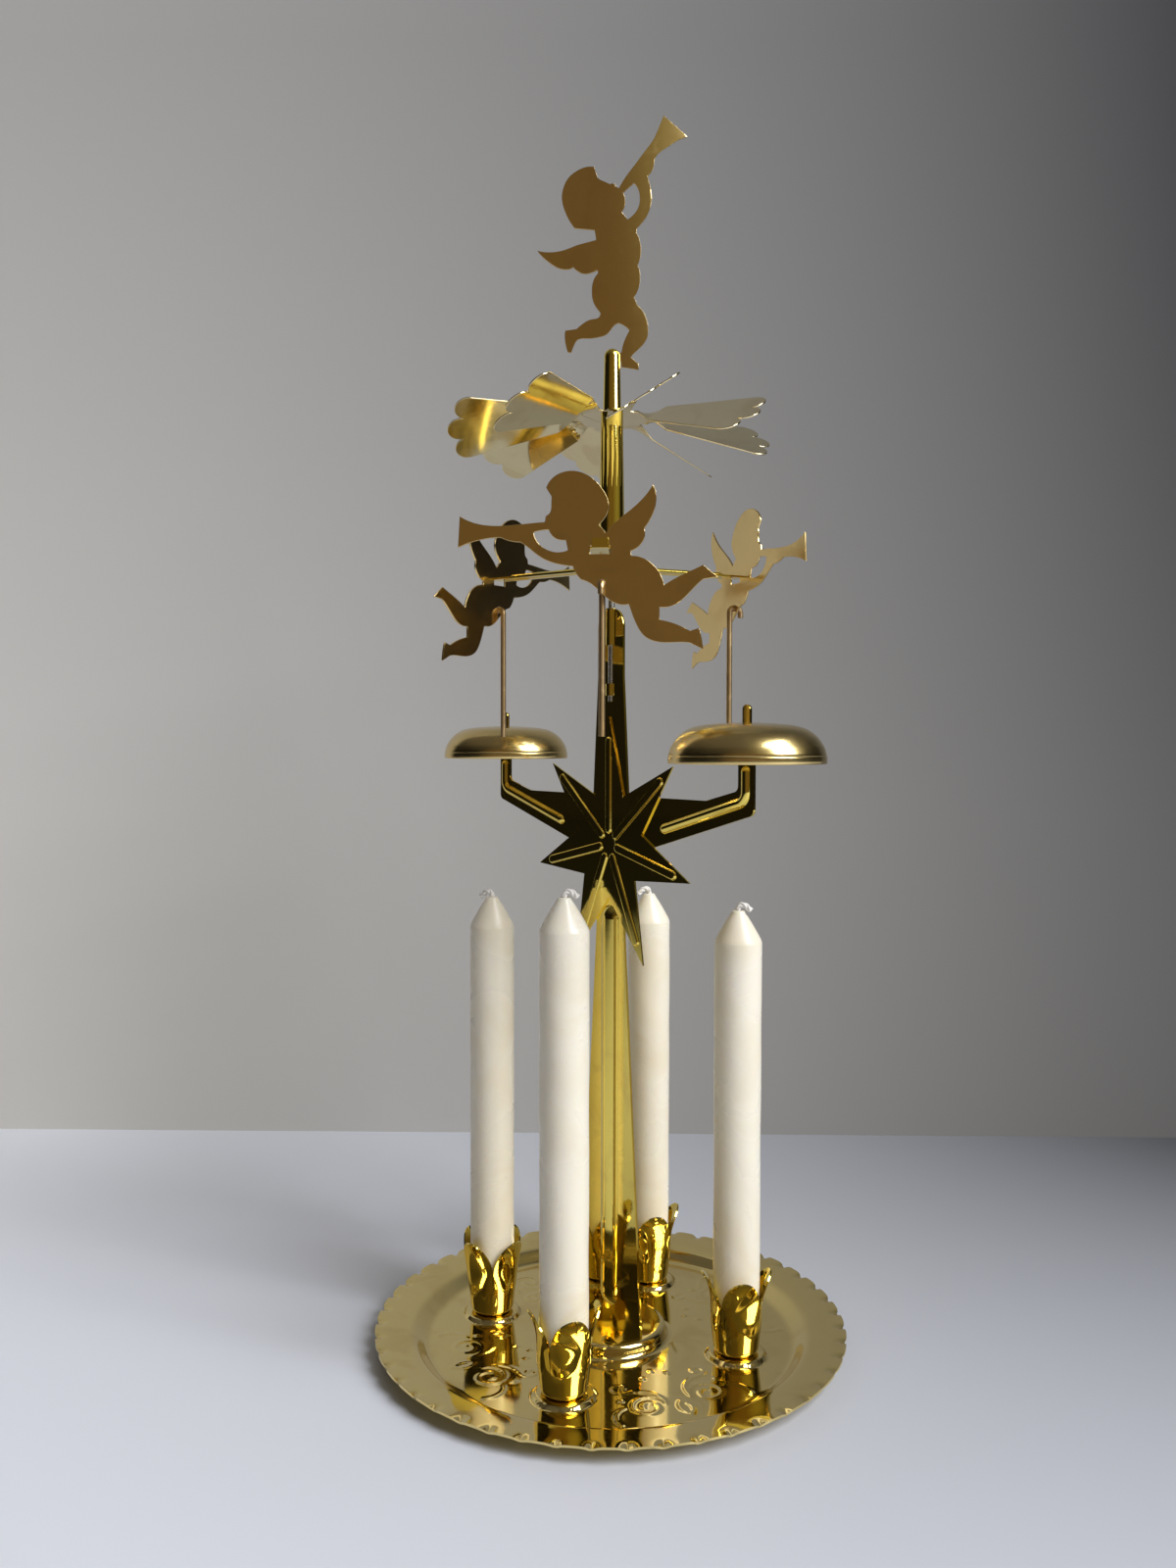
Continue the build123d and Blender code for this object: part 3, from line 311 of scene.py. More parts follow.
# %% Group: marks of handling and dulled patches
handling, given, result = new_group("Handling marks", {"Scale": 120.0, "Threshold": 0.55, "Softness": 0.15})
patches = add_node(handling, "ShaderNodeTexNoise",
                   {"Vector": given["Vector"], "Scale": given["Scale"], "Detail": 5.0, "Distortion": 0.8})
high = math_node(handling, "ADD", given["Threshold"], given["Softness"])
mask = share_between(handling, patches.outputs["Fac"], given["Threshold"], high,
                     interpolation_type="SMOOTHSTEP")
handling.links.new(mask, result.inputs["Mask"])
print("marks:", [item.name for item in handling.interface.items_tree])

# %% Group: pits and specks
specks, given, result = new_group("Specks", {"Scale": 700.0, "Size": 0.12})
pits = add_node(specks, "ShaderNodeTexVoronoi", {"Vector": given["Vector"], "Scale": given["Scale"]})
dots = math_node(specks, "LESS_THAN", pits.outputs["Distance"], given["Size"])
specks.links.new(dots, result.inputs["Mask"])
print("node groups:", [group.name for group in bpy.data.node_groups])

# %% [markdown]
# ## Brass
# Brass is a bare metal, so its colour tints the reflections and it has no coat. The real
# pieces differ: cups and column are like mirrors, the bells were turned and have a satin
# look, and the wires are drawn and a little brown. Each could be a material of its own by
# hand. One function with a row of values each keeps them alike where they should be.

# %% A function for all metals
PATCH = {"Scale": 85.0, "Threshold": 0.5, "Softness": 0.2}
FINE_PATCH = {"Scale": 420.0, "Threshold": 0.56, "Softness": 0.12}
PATCH_ROUGHENS, FINE_PATCH_ROUGHENS, STREAK_ROUGHENS = 0.10, 0.12, 0.35
SPECK_DULLS = 0.5


def new_material(name):
    """A material, its tree, its shader, and the place on the piece as a socket."""
    material = bpy.data.materials.new(name)
    material.use_nodes = True
    tree = material.node_tree
    place = add_node(tree, "ShaderNodeTexCoord").outputs["Object"]
    return material, tree, tree.nodes["Principled BSDF"], place


def metal(name, colour, dull_colour, roughness, wave, wave_scale=55.0, dulled=0.25,
          line=0.004, line_turn=(0, 0, 0)):
    """A metal with waves and lines as bump, and dulled patches in colour and roughness."""
    material, tree, shader, place = new_material(name)
    shader.inputs["Metallic"].default_value = 1.0
    turned = add_node(tree, "ShaderNodeMapping", {"Vector": place, "Rotation": line_turn}).outputs[0]
    patch = use_group(tree, handling, place, **PATCH)
    fine_patch = use_group(tree, handling, place, **FINE_PATCH)
    streak = use_group(tree, rolling_lines, turned)
    dull = math_node(tree, "MULTIPLY", patch, dulled)
    dull = math_node(tree, "MULTIPLY_ADD", use_group(tree, specks, place), SPECK_DULLS * dulled, dull)
    tree.links.new(mix_colours(tree, dull, colour, dull_colour), shader.inputs["Base Color"])
    rough = math_node(tree, "MULTIPLY_ADD", patch, PATCH_ROUGHENS * dulled, roughness)
    rough = math_node(tree, "MULTIPLY_ADD", fine_patch, FINE_PATCH_ROUGHENS * dulled, rough)
    rough = math_node(tree, "MULTIPLY_ADD", streak, STREAK_ROUGHENS * roughness, rough)
    tree.links.new(rough, shader.inputs["Roughness"])
    long_wave = bump(tree, use_group(tree, sheet_waves, place, Scale=wave_scale), wave)
    tree.links.new(bump(tree, streak, line, Normal=long_wave), shader.inputs["Normal"])
    return material

# %% The metals of the chime
DULL_GOLD, DULL_BROWN, DULL_STEEL = (0.52, 0.33, 0.10), (0.28, 0.17, 0.08), (0.35, 0.33, 0.30)
finishes = {
    "polished_brass": metal("polished_brass", (0.91, 0.71, 0.15), DULL_GOLD, 0.035, wave=0.03, wave_scale=60),
    "tray_brass": metal("tray_brass", (0.82, 0.66, 0.28), DULL_GOLD, 0.06, wave=0.03),
    "angel_brass": metal("angel_brass", (0.84, 0.63, 0.28), DULL_GOLD, 0.13, wave=0.12, wave_scale=28),
    "turbine_brass": metal("turbine_brass", (0.88, 0.76, 0.46), DULL_GOLD, 0.07, wave=0.10, wave_scale=38),
    "bell_brass": metal("bell_brass", (0.72, 0.55, 0.23), DULL_GOLD, 0.18, wave=0.06, line=0.012),
    "brass_wire": metal("brass_wire", (0.62, 0.44, 0.22), DULL_BROWN, 0.28, dulled=0.6,
                        wave=0.02, line=0.01, line_turn=(0, QUARTER_TURN, 0)),
    "steel_pin": metal("steel_pin", (0.62, 0.62, 0.60), DULL_STEEL, 0.22, wave=0.01),
}
print("metals:", sorted(finishes))

# %% [markdown]
# ## Wax and cotton
# Candle wax lets light in a little way, so its shadows are soft and warm. White paint would
# look like plaster, so subsurface scatter is used, with a slightly uneven satin surface.
# The wick is cotton dipped in the same wax: pale threads with a soft bump.

# %% Wax
WAX_PALE, WAX_DEEP = (0.89, 0.83, 0.68), (0.85, 0.77, 0.59)
SCATTER, SCATTER_COLOUR, SCATTER_MM = 0.35, (1.0, 0.75, 0.5), 2.5
WAX_ROUGHNESS, CLOUD_ROUGHENS = 0.27, 0.12
WAX_CLOUD = {"Scale": 60.0, "Threshold": 0.40, "Softness": 0.3}
WAX_GRAIN = {"Scale": 900.0, "Threshold": 0.45, "Softness": 0.3}
UNEVEN_SCALE, UNEVEN_MM, GRAIN_MM = 140.0, 0.03, 0.012

wax_material, tree, shader, place = new_material("ivory_wax")
shader.inputs["Subsurface Weight"].default_value = SCATTER
shader.inputs["Subsurface Radius"].default_value = SCATTER_COLOUR
shader.inputs["Subsurface Scale"].default_value = SCATTER_MM * MM
cloud = use_group(tree, handling, place, **WAX_CLOUD)
tree.links.new(mix_colours(tree, cloud, WAX_PALE, WAX_DEEP), shader.inputs["Base Color"])
rough = math_node(tree, "MULTIPLY_ADD", cloud, CLOUD_ROUGHENS, WAX_ROUGHNESS)
tree.links.new(rough, shader.inputs["Roughness"])
uneven = bump(tree, use_group(tree, sheet_waves, place, Scale=UNEVEN_SCALE), UNEVEN_MM)
grain = use_group(tree, handling, place, **WAX_GRAIN)
tree.links.new(bump(tree, grain, GRAIN_MM, Normal=uneven), shader.inputs["Normal"])
finishes["ivory_wax"] = wax_material
print("wax nodes:", len(tree.nodes))

# %% Cotton
COTTON_SHADE, COTTON_WHITE, COTTON_ROUGHNESS = (0.70, 0.66, 0.58), (0.94, 0.92, 0.87), 0.75
THREAD_SCALE, THREAD_STRETCH, FUZZ_MM = 4000.0, 0.4, 0.08

cotton_material, tree, shader, place = new_material("cotton_wick")
shader.inputs["Roughness"].default_value = COTTON_ROUGHNESS
thread = use_group(tree, rolling_lines, place, Scale=THREAD_SCALE, Stretch=THREAD_STRETCH)
tree.links.new(mix_colours(tree, thread, COTTON_SHADE, COTTON_WHITE), shader.inputs["Base Color"])
tree.links.new(bump(tree, thread, FUZZ_MM), shader.inputs["Normal"])
finishes["cotton_wick"] = cotton_material
print("finishes:", sorted(finishes))

# %% [markdown]
# The solids that are right as they are keep their place and mesh and only take a better
# finish. Each comes with a plain material that has the name of its finish in the record, so
# the swap goes by that name.

# %% Dress the solids
for node in NODES.values():
    node.material_slots[0].material = finishes[node.material_slots[0].material.name.split(".")[0]]
print("dressed:", len(NODES))

# %% [markdown]
# ## Tray
# The tray is one pressed disc: a raised boss in the middle, a flat floor, a short wall and a
# rim that is fluted and cut in 48 shallow lobes. Bevels and booleans on a cylinder would
# leave uneven faces. So a chain of the upper surface is spun, and the lobes, the flutes, the
# four seats and the embossed scrolls are moved out of it point by point, as a press would.
# The sheet gets its thickness last.

# %% The tray's outline
FLOOR_TOP, BOSS_TOP, TRAY_SHEET = 0.5, 3.7, 0.5
FLOOR_END, RIM_RADIUS, RIM_TOP = 43.8, 57.3, 4.5
FLOOR_RINGS, SHELF_RINGS, RIM_RINGS = 56, 2, 9
LOBES, STEPS_PER_LOBE = 48, 11
BOSS_EDGE = [(0, 0), (4, 0), (8, 0), (11.2, 0), (12.2, -0.02), (12.8, -0.12), (13.3, -0.42),
             (13.6, -0.9), (13.75, -1.9)]
BOSS_FOOT = [(13.9, 0.85), (14.1, 0.4), (14.6, 0.08), (15.3, 0)]
TRAY_WALL = [(44.4, 0.07), (44.95, 0.3), (45.5, 0.75), (46.6, 1.7), (47.3, 2.33), (47.9, 2.76),
             (48.5, 2.98), (49.2, 3.1)]
SHELF_END = (52.6, FLOOR_TOP + 3.5)

tray_points = [(radius, BOSS_TOP + height) for radius, height in BOSS_EDGE]
tray_points += [(radius, FLOOR_TOP + height) for radius, height in BOSS_FOOT]
tray_points += share_points(tray_points[-1], (FLOOR_END, FLOOR_TOP), FLOOR_RINGS)
tray_points += [(radius, FLOOR_TOP + height) for radius, height in TRAY_WALL]
tray_points += share_points(tray_points[-1], SHELF_END, SHELF_RINGS)
tray_points += share_points(SHELF_END, (RIM_RADIUS, RIM_TOP), RIM_RINGS)
tray = spin(chain("tray_dressed", tray_points), LOBES * STEPS_PER_LOBE)
print("tray points:", len(tray.data.vertices))

# %% [markdown]
# The ornament on the floor is a plain scroll of a common kind: a pair of curls that face
# each other in each of the four gaps between the seats, with a bud between them and a few
# beads. It could be carved as separate strips, but a pressed line grows softly out of its
# sheet. So each line is a list of points, and a point of the sheet rises by its distance
# from the nearest line.

# %% Draw the scrolls
def curl(centre, start_radius, end_radius, start_turn, turns, count=60):
    """A spiral line in the ornament's own plane."""
    line = []
    for i in range(count + 1):
        share = i / count
        radius = start_radius + (end_radius - start_radius) * share
        angle = FULL_TURN * (start_turn + turns * share)
        line.append((centre[0] + radius * math.cos(angle), centre[1] + radius * math.sin(angle)))
    return line


def sweep(points, count=24):
    """A smooth line drawn by four control points."""
    line = []
    for i in range(count + 1):
        t = i / count
        weights = ((1 - t) ** 3, 3 * t * (1 - t) ** 2, 3 * t * t * (1 - t), t ** 3)
        line.append(tuple(sum(w * p[k] for w, p in zip(weights, points)) for k in range(2)))
    return line


half_motif = [
    curl((7.6, 34.6), 4.4, 1.0, 0.55, 1.45),
    sweep([(3.2, 34.6), (2.6, 30.5), (5.2, 27.6), (9.4, 27.4)]),
    curl((9.8, 25.3), 2.1, 0.7, 0.25, -0.95, count=30),
    sweep([(0.0, 41.0), (1.6, 39.2), (2.0, 37.4), (0.0, 35.4)]),
    sweep([(12.6, 33.0), (15.6, 33.6), (16.9, 36.4), (16.2, 39.0)]),
]
scroll_points = np.array([point for line in half_motif for point in line])
bead_points = np.array([(0.0, 21.2), (3.2, 23.4), (12.0, 30.2)])
print("points in half a scroll:", len(scroll_points), "and beads:", len(bead_points))

# %% Measures for pressing
def nearest(points, targets, block=4000):
    """Each point's distance from the nearest target, worked out a block at a time."""
    found = np.empty(len(points))
    for start in range(0, len(points), block):
        apart = points[start:start + block, None, :] - targets[None, :, :]
        found[start:start + block] = np.sqrt((apart ** 2).sum(-1).min(1))
    return found


def ridge(distance, half_width, height):
    """A round ridge over a distance from its middle."""
    share = np.clip(distance / half_width, 0, 1)
    return height * (1 + np.cos(math.pi * share)) / 2


def gentle(share):
    """A smooth step from 0 to 1."""
    share = np.clip(share, 0, 1)
    return share * share * (3 - 2 * share)

# %% Press the scrolls and the seats
CANDLE_CIRCLE = 31.7
CANDLE_DIRECTIONS = {"front": 251.2, "right": -18.8, "back": 71.2, "left": 161.2}
SEAT_RADIUS, SEAT_RISE, SEAT_EDGE = 6.6, 1.0, 0.7
LINE_HALF_WIDTH, LINE_RISE = 0.75, 0.19
BEAD_HALF_WIDTH, BEAD_RISE = 1.0, 0.3
SCROLL_START, SCROLL_END = 15.5, 43.7
SEAT_MARGIN, SCROLL_FADE = 1.0, 1.5


def candle_place(name, height):
    """The point on the candle circle in a candle's direction, in millimetres."""
    direction = math.radians(CANDLE_DIRECTIONS[name])
    return (CANDLE_CIRCLE * math.cos(direction), CANDLE_CIRCLE * math.sin(direction), height)


points = points_of(tray) / MM
radius = np.hypot(points[:, 0], points[:, 1])
bearing = np.arctan2(points[:, 1], points[:, 0])
on_floor = (radius > SCROLL_START) & (radius < SCROLL_END)
gap_middle = math.radians(CANDLE_DIRECTIONS["right"]) + QUARTER_TURN / 2
folded = (bearing - gap_middle + QUARTER_TURN / 2) % QUARTER_TURN - QUARTER_TURN / 2
motif_place = np.stack([np.abs(radius * np.sin(folded)), radius * np.cos(folded)], 1)
rise = np.zeros(len(points))
rise[on_floor] = np.maximum(
    ridge(nearest(motif_place[on_floor], scroll_points), LINE_HALF_WIDTH, LINE_RISE),
    ridge(nearest(motif_place[on_floor], bead_points), BEAD_HALF_WIDTH, BEAD_RISE))
seats = np.array([candle_place(name, 0)[:2] for name in CANDLE_DIRECTIONS])
seat_distance = nearest(points[:, :2], seats)
seat_share = gentle((SEAT_RADIUS + SEAT_EDGE - seat_distance) / SEAT_EDGE)
rise = rise * gentle((seat_distance - SEAT_RADIUS - SEAT_MARGIN) / SCROLL_FADE) + SEAT_RISE * seat_share
print("points raised:", int((rise > 0).sum()))

# %% [markdown]
# The rim's lobes are wide, with a narrow notch between each two, so a high power of the
# distance from a lobe's middle draws them. The same measure bends the flutes down.

# %% Press the lobes and the flutes, and give the sheet its thickness
LOBE_DEPTH, LOBE_START, NOTCH_POWER = 0.8, 54.8, 5
FLUTE_DEPTH, FLUTE_START, FLUTE_POWER = 1.0, 54.4, 4
TRAY_INSET = 0.1

lobe_share = gentle((radius - LOBE_START) / (RIM_RADIUS - LOBE_START))
flute_share = np.clip((radius - FLUTE_START) / (RIM_RADIUS - FLUTE_START), 0, 1)
notch = np.abs(((bearing / FULL_TURN * LOBES) + 0.5) % 1 - 0.5) * 2
inward = TRAY_INSET * lobe_share + LOBE_DEPTH * notch ** NOTCH_POWER * lobe_share
points[:, 0] -= inward * np.cos(bearing)
points[:, 1] -= inward * np.sin(bearing)
points[:, 2] += rise - FLUTE_DEPTH * notch ** FLUTE_POWER * flute_share
set_points(tray, points * MM)
turn_faces(tray, (0, 0, 1))
apply_modifier(tray, "SOLIDIFY", thickness=TRAY_SHEET * MM, offset=-1, use_even_offset=False)
smooth(tray, degrees=40)
tray.data.materials.append(finishes["tray_brass"])
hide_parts("tray")
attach(tray, "stand")
print("tray triangles:", triangles(tray))

# %% [markdown]
# ## Candle holders
# Each holder is a cup that was drawn from flat sheet and slit into four petals whose tips
# curl away from the candle. Four loose petals could be modelled and joined, but their foot
# has to stay one cup. So one cup is spun and split along the slits. Each petal then narrows
# to a round arch, and it unrolls a little as it leans out, as bent sheet has to.

# %% The cup's and the petals' measures
CUP_SHEET = 0.4
BOWL_HEIGHT, BOWL_RADIUS = 4.0, 5.3
THROAT_HEIGHT, THROAT_RADIUS = 7.0, 5.62
FLARE_HEIGHT, FLARE_RADIUS, LIP_ARC = 11.0, 5.68, 15.6
SLIT_FOOT, PETAL_TIP = 5.4, 19.4
PETALS, PETAL_ARCH, ARCH_ROUNDNESS, PETAL_SPREAD, UNROLL = 4, 7.6, 1.9, 0.35, 1.2
PETAL_TURN = FULL_TURN / PETALS


def cup_radius(height):
    """The cup's inner radius at a height."""
    if height <= THROAT_HEIGHT:
        widening = (THROAT_RADIUS - BOWL_RADIUS) * (height - BOWL_HEIGHT) / (THROAT_HEIGHT - BOWL_HEIGHT)
        return BOWL_RADIUS + widening
    if height <= FLARE_HEIGHT:
        widening = (FLARE_RADIUS - THROAT_RADIUS) * (height - THROAT_HEIGHT) / (FLARE_HEIGHT - THROAT_HEIGHT)
        return THROAT_RADIUS + widening
    return FLARE_RADIUS + LIP_ARC - math.sqrt(LIP_ARC ** 2 - (height - FLARE_HEIGHT) ** 2)


def petal_up(height):
    """How far up the petal a height is, as a smooth share."""
    return gentle((height - SLIT_FOOT) / (PETAL_TIP - SLIT_FOOT))


def petal_half_width(height):
    """Half of a petal's width, along the sheet, at a height: full, then a round arch."""
    down = (PETAL_TIP - height) / PETAL_ARCH
    arch = math.sqrt(max(1 - max(1 - down, 0) ** ARCH_ROUNDNESS, 0))
    full = PETAL_TURN / 2 * min(cup_radius(height), FLARE_RADIUS)
    return (full + PETAL_SPREAD * petal_up(height)) * arch


print("petal half width at its foot:", round(petal_half_width(SLIT_FOOT), 2))

# %% [markdown]
# The rows of the spun cup lie closer together near the tip, where the petal's edge is round.

# %% Spin a cup
PETAL_ROWS, COLUMNS_PER_PETAL = 34, 36
BOWL = [(0, 0.4), (2.0, 0.4), (4.0, 0.4), (4.45, 0.52), (4.8, 0.8), (4.98, 1.2), (5.06, 1.8),
        (5.17, 2.9), (BOWL_RADIUS, BOWL_HEIGHT)]

row_shares = [math.sin(QUARTER_TURN * i / PETAL_ROWS) for i in range(PETAL_ROWS + 1)]
row_heights = [SLIT_FOOT + (PETAL_TIP - SLIT_FOOT) * share for share in row_shares]
cup_points = BOWL + [(cup_radius(height), height) for height in row_heights]
cup = spin(chain("candle_holder_model", cup_points), PETALS * COLUMNS_PER_PETAL)
print("cup points:", len(cup.data.vertices))

# %% Split the slits
ON_SLIT, FOOT_MARGIN = 1e-4, 0.01


def is_on_slit(point):
    """Whether a point lies on one of the four slits, above their foot."""
    turns = math.atan2(point.y, point.x) / PETAL_TURN - 0.5
    return abs(turns - round(turns)) < ON_SLIT and point.z > (SLIT_FOOT - FOOT_MARGIN) * MM


edit_all(cup)
bpy.ops.mesh.select_mode(type="EDGE")
bpy.ops.mesh.select_all(action="DESELECT")
bpy.ops.object.mode_set(mode="OBJECT")
for edge in cup.data.edges:
    low, high = [cup.data.vertices[i].co for i in edge.vertices]
    edge.select = is_on_slit(low) and is_on_slit(high)
print("slit edges:", sum(edge.select for edge in cup.data.edges))
bpy.ops.object.mode_set(mode="EDIT")
bpy.ops.mesh.edge_split(type="EDGE")
bpy.ops.mesh.select_mode(type="VERT")
bpy.ops.object.mode_set(mode="OBJECT")

# %% Narrow and bend the petals
STILL_BELOW = SLIT_FOOT + 0.001


def on_bent_petal(x, y, z, centre):
    """Where a point of the spun cup lies once its petal is narrowed and bent."""
    across = (math.atan2(y, x) - centre + math.pi) % FULL_TURN - math.pi
    along = across / (PETAL_TURN / 2) * petal_half_width(z)
    bend = FLARE_RADIUS * (1 + UNROLL * petal_up(z))
    out = cup_radius(z) - bend * (1 - math.cos(along / bend))
    aside = bend * math.sin(along / bend)
    return (out * math.cos(centre) - aside * math.sin(centre),
            out * math.sin(centre) + aside * math.cos(centre), z)


petal_centres = {}
for face in cup.data.polygons:
    petal = round(math.atan2(face.center.y, face.center.x) / PETAL_TURN)
    for i in face.vertices:
        petal_centres.setdefault(i, petal * PETAL_TURN)
points = points_of(cup) / MM
for i, (x, y, z) in enumerate(points):
    if z > STILL_BELOW:
        points[i] = on_bent_petal(x, y, z, petal_centres[i])
set_points(cup, points * MM)
close_seams(cup)
turn_faces(cup, (0, 0, -1))
apply_modifier(cup, "SOLIDIFY", thickness=CUP_SHEET * MM, offset=1, use_even_offset=False)
smooth(cup, degrees=45)
print("cup triangles:", triangles(cup))

# %% Put a cup on each seat
PETAL_DIRECTIONS = {"front": -72.0, "right": -84.0, "back": -76.0, "left": -38.0}
SEAT_TOP = FLOOR_TOP + SEAT_RISE

cup.data.materials.append(finishes["polished_brass"])
for name, direction in PETAL_DIRECTIONS.items():
    holder = place_copy(cup, "petal_cup_" + name, direction, candle_place(name, SEAT_TOP))
    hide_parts("candle_holder_" + name)
    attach(holder, "stand")
    print(holder.name, "turned by", direction)
bpy.data.objects.remove(cup)

# %% [markdown]
# ## Candles
# The candles were poured, so they are almost true cylinders, with a faint swell here and
# there, a shoulder where the cone begins, and a cone that bulges slightly. A cylinder and a
# cone would meet in a hard line. So the outline is drawn with its rounded shoulder and spun,
# and a few slow waves of chance swell it by a few hundredths of a millimetre.

# %% The candles' measures
CANDLE_FOOT, CANDLE_RADIUS, CANDLE_CORNERS = 8.5, 5.56, 96
CANDLE_LENGTHS = {"front": 96.4, "right": 91.0, "back": 90.0, "left": 91.4}
TIP_RADIUS, TIP_HEIGHT, TIP_BULGE, TIP_RINGS = 1.3, 7.2, 0.15, 14
FOOT_EDGE = [(0, 0), (5.0, 0), (5.4, 0.1), (5.52, 0.4)]
SIDE_END, SIDE_RINGS = 0.5, 40
SHOULDER = [(-0.03, -0.2), (-0.1, 0)]
TIP_EDGE = [(1.55, -0.25), (1.3, -0.06), (1.0, 0), (0.6, -0.1), (0, -0.1)]


def candle_outline(length):
    """Radius and height down one side of a candle: foot, side, shoulder, cone and tip."""
    outline = FOOT_EDGE + share_points(FOOT_EDGE[-1], (CANDLE_RADIUS, length - SIDE_END), SIDE_RINGS)
    outline += [(CANDLE_RADIUS + wider, length + higher) for wider, higher in SHOULDER]
    for i in range(1, TIP_RINGS):
        up = i / TIP_RINGS
        cone_radius = CANDLE_RADIUS + (TIP_RADIUS - CANDLE_RADIUS) * up + TIP_BULGE * math.sin(math.pi * up)
        outline.append((cone_radius, length + TIP_HEIGHT * i / TIP_RINGS))
    return outline + [(radius, length + TIP_HEIGHT + higher) for radius, higher in TIP_EDGE]


print("rings of the longest candle:", len(candle_outline(max(CANDLE_LENGTHS.values()))))

# %% Pour the candles
SWELLS, SWELL_CLOSENESS, SWELL_FOOT, WIDEST = 7, 3, 6, 1.004


def candle(name, length, seed):
    """One candle with its own slight unevenness, standing at the origin."""
    made = spin(chain(name, candle_outline(length)), CANDLE_CORNERS)
    chance = random.Random(seed)
    swells = [(chance.uniform(0.03, 0.12), chance.randint(1, 3), chance.uniform(0, 6),
               chance.uniform(0.012, 0.03)) for _ in range(SWELLS)]
    points = points_of(made) / MM
    bearing = np.arctan2(points[:, 1], points[:, 0])
    swell = sum(depth * np.sin(points[:, 2] * pitch * SWELL_CLOSENESS + turns * bearing + start)
                for pitch, turns, start, depth in swells)
    wider = 1 + swell * gentle(points[:, 2] / SWELL_FOOT) / CANDLE_RADIUS
    points[:, :2] *= np.minimum(wider, WIDEST)[:, None]
    set_points(made, points * MM)
    smooth(made, degrees=50)
    return made


for seed, (name, length) in enumerate(CANDLE_LENGTHS.items()):
    wax = candle("poured_candle_" + name, length, seed)
    wax.data.transform(Matrix.Translation(Vector(candle_place(name, CANDLE_FOOT)) * MM))
    wax.data.materials.append(finishes["ivory_wax"])
    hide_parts("candle_" + name)
    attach(wax, "candle_" + name)
    print(wax.name, "top in mm:", round(CANDLE_FOOT + length + TIP_HEIGHT, 1))

# %% [markdown]
# ## Wicks
# The wick is three threads twisted together, stiff with wax, and bent over where it leaves
# the tip. Three tubes along one curve could stand for the threads, but they would cut into
# each other in the bend. So a round face is extruded step by step along the wick's line: up,
# over, and a little down again. The grooves between the threads are pressed in afterwards,
# each ring's a little further round than the last.

# %% Bend a wick
WICK_RADIUS, WICK_CORNERS, WICK_STEPS = 0.66, 24, 64
WICK_DEPTH, WICK_RISE, WICK_BEND, WICK_REACH = 2.0, 0.3, 0.95, 2.6
WICK_DROOP_BEND, WICK_DROOP = 1.6, 0.75


def wick_line():
    """Places along the wick's line, with its lean at each, in the plane of X and Z."""
    total = WICK_DEPTH + WICK_RISE + WICK_BEND * QUARTER_TURN + WICK_REACH
    step = total / WICK_STEPS
    place, lean = Vector((0, 0, -WICK_DEPTH)), 0.0
    line = [(place.copy(), lean)]
    for i in range(WICK_STEPS):
        if i * step > WICK_DEPTH + WICK_RISE:
            bend = WICK_BEND if lean < QUARTER_TURN else WICK_DROOP_BEND
            lean = min(lean + step / bend, QUARTER_TURN + WICK_DROOP)
        place = place + step * Vector((math.sin(lean), 0, math.cos(lean)))
        line.append((place.copy(), lean))
    return line


def wick(name):
    """A plain round wick whose foot is below the origin, bent towards +X."""
    line = wick_line()
    bpy.ops.object.select_all(action="DESELECT")
    bpy.ops.mesh.primitive_circle_add(vertices=WICK_CORNERS, radius=WICK_RADIUS * MM, fill_type="NGON",
                                      location=line[0][0] * MM)
    made = bpy.context.object
    made.name = name
    bpy.ops.object.transform_apply(location=True)
    edit_all(made)
    for (last, last_lean), (place, lean) in zip(line, line[1:]):
        bpy.ops.mesh.extrude_region_move(TRANSFORM_OT_translate={"value": (place - last) * MM})
        bpy.ops.transform.rotate(value=last_lean - lean, orient_axis="Y", center_override=tuple(place * MM))
    bpy.ops.object.mode_set(mode="OBJECT")
    return made


wick_model = wick("wick_model")
print("height of the wick in mm:", round(np.ptp(points_of(wick_model)[:, 2]) / MM, 2))

# %% [markdown]
# A point belongs to the ring in whose plane it lies, one wick radius from the middle.

# %% Twist its threads and set one on each candle
THREADS, TWIST_PER_MM, GROOVE_SHARE, THREAD_SHARE = 3, 1.5, 0.66, 0.40
OFF_PLANE_WEIGHT = 9
WICK_DIRECTIONS = {"front": -6.0, "right": -14.0, "back": 196.0, "left": 160.0}


def ring_of(point, middles, ways):
    """The number of the ring that a point of the wick belongs to."""
    away = point - middles
    off_circle = np.abs((away ** 2).sum(1) - WICK_RADIUS ** 2)
    off_plane = np.abs((away * ways).sum(1))
    return np.argmin(off_circle + OFF_PLANE_WEIGHT * off_plane)


def twist_threads(piece):
    """Presses grooves between the threads, each ring a little further round than the last."""
    line = wick_line()
    middles = np.array([tuple(place) for place, lean in line])
    leans = np.array([lean for place, lean in line])
    ways = np.stack([np.sin(leans), 0 * leans, np.cos(leans)], 1)
    points = points_of(piece) / MM
    ring = np.array([ring_of(point, middles, ways) for point in points])
    away = points - middles[ring]
    across = away[:, 0] * np.cos(leans[ring]) - away[:, 2] * np.sin(leans[ring])
    bearing = np.arctan2(away[:, 1], across)
    turn = TWIST_PER_MM * ring * np.linalg.norm(middles[1] - middles[0])
    groove = GROOVE_SHARE + THREAD_SHARE * np.abs(np.cos((bearing - turn) * THREADS / 2))
    set_points(piece, (middles[ring] + away * groove[:, None]) * MM)


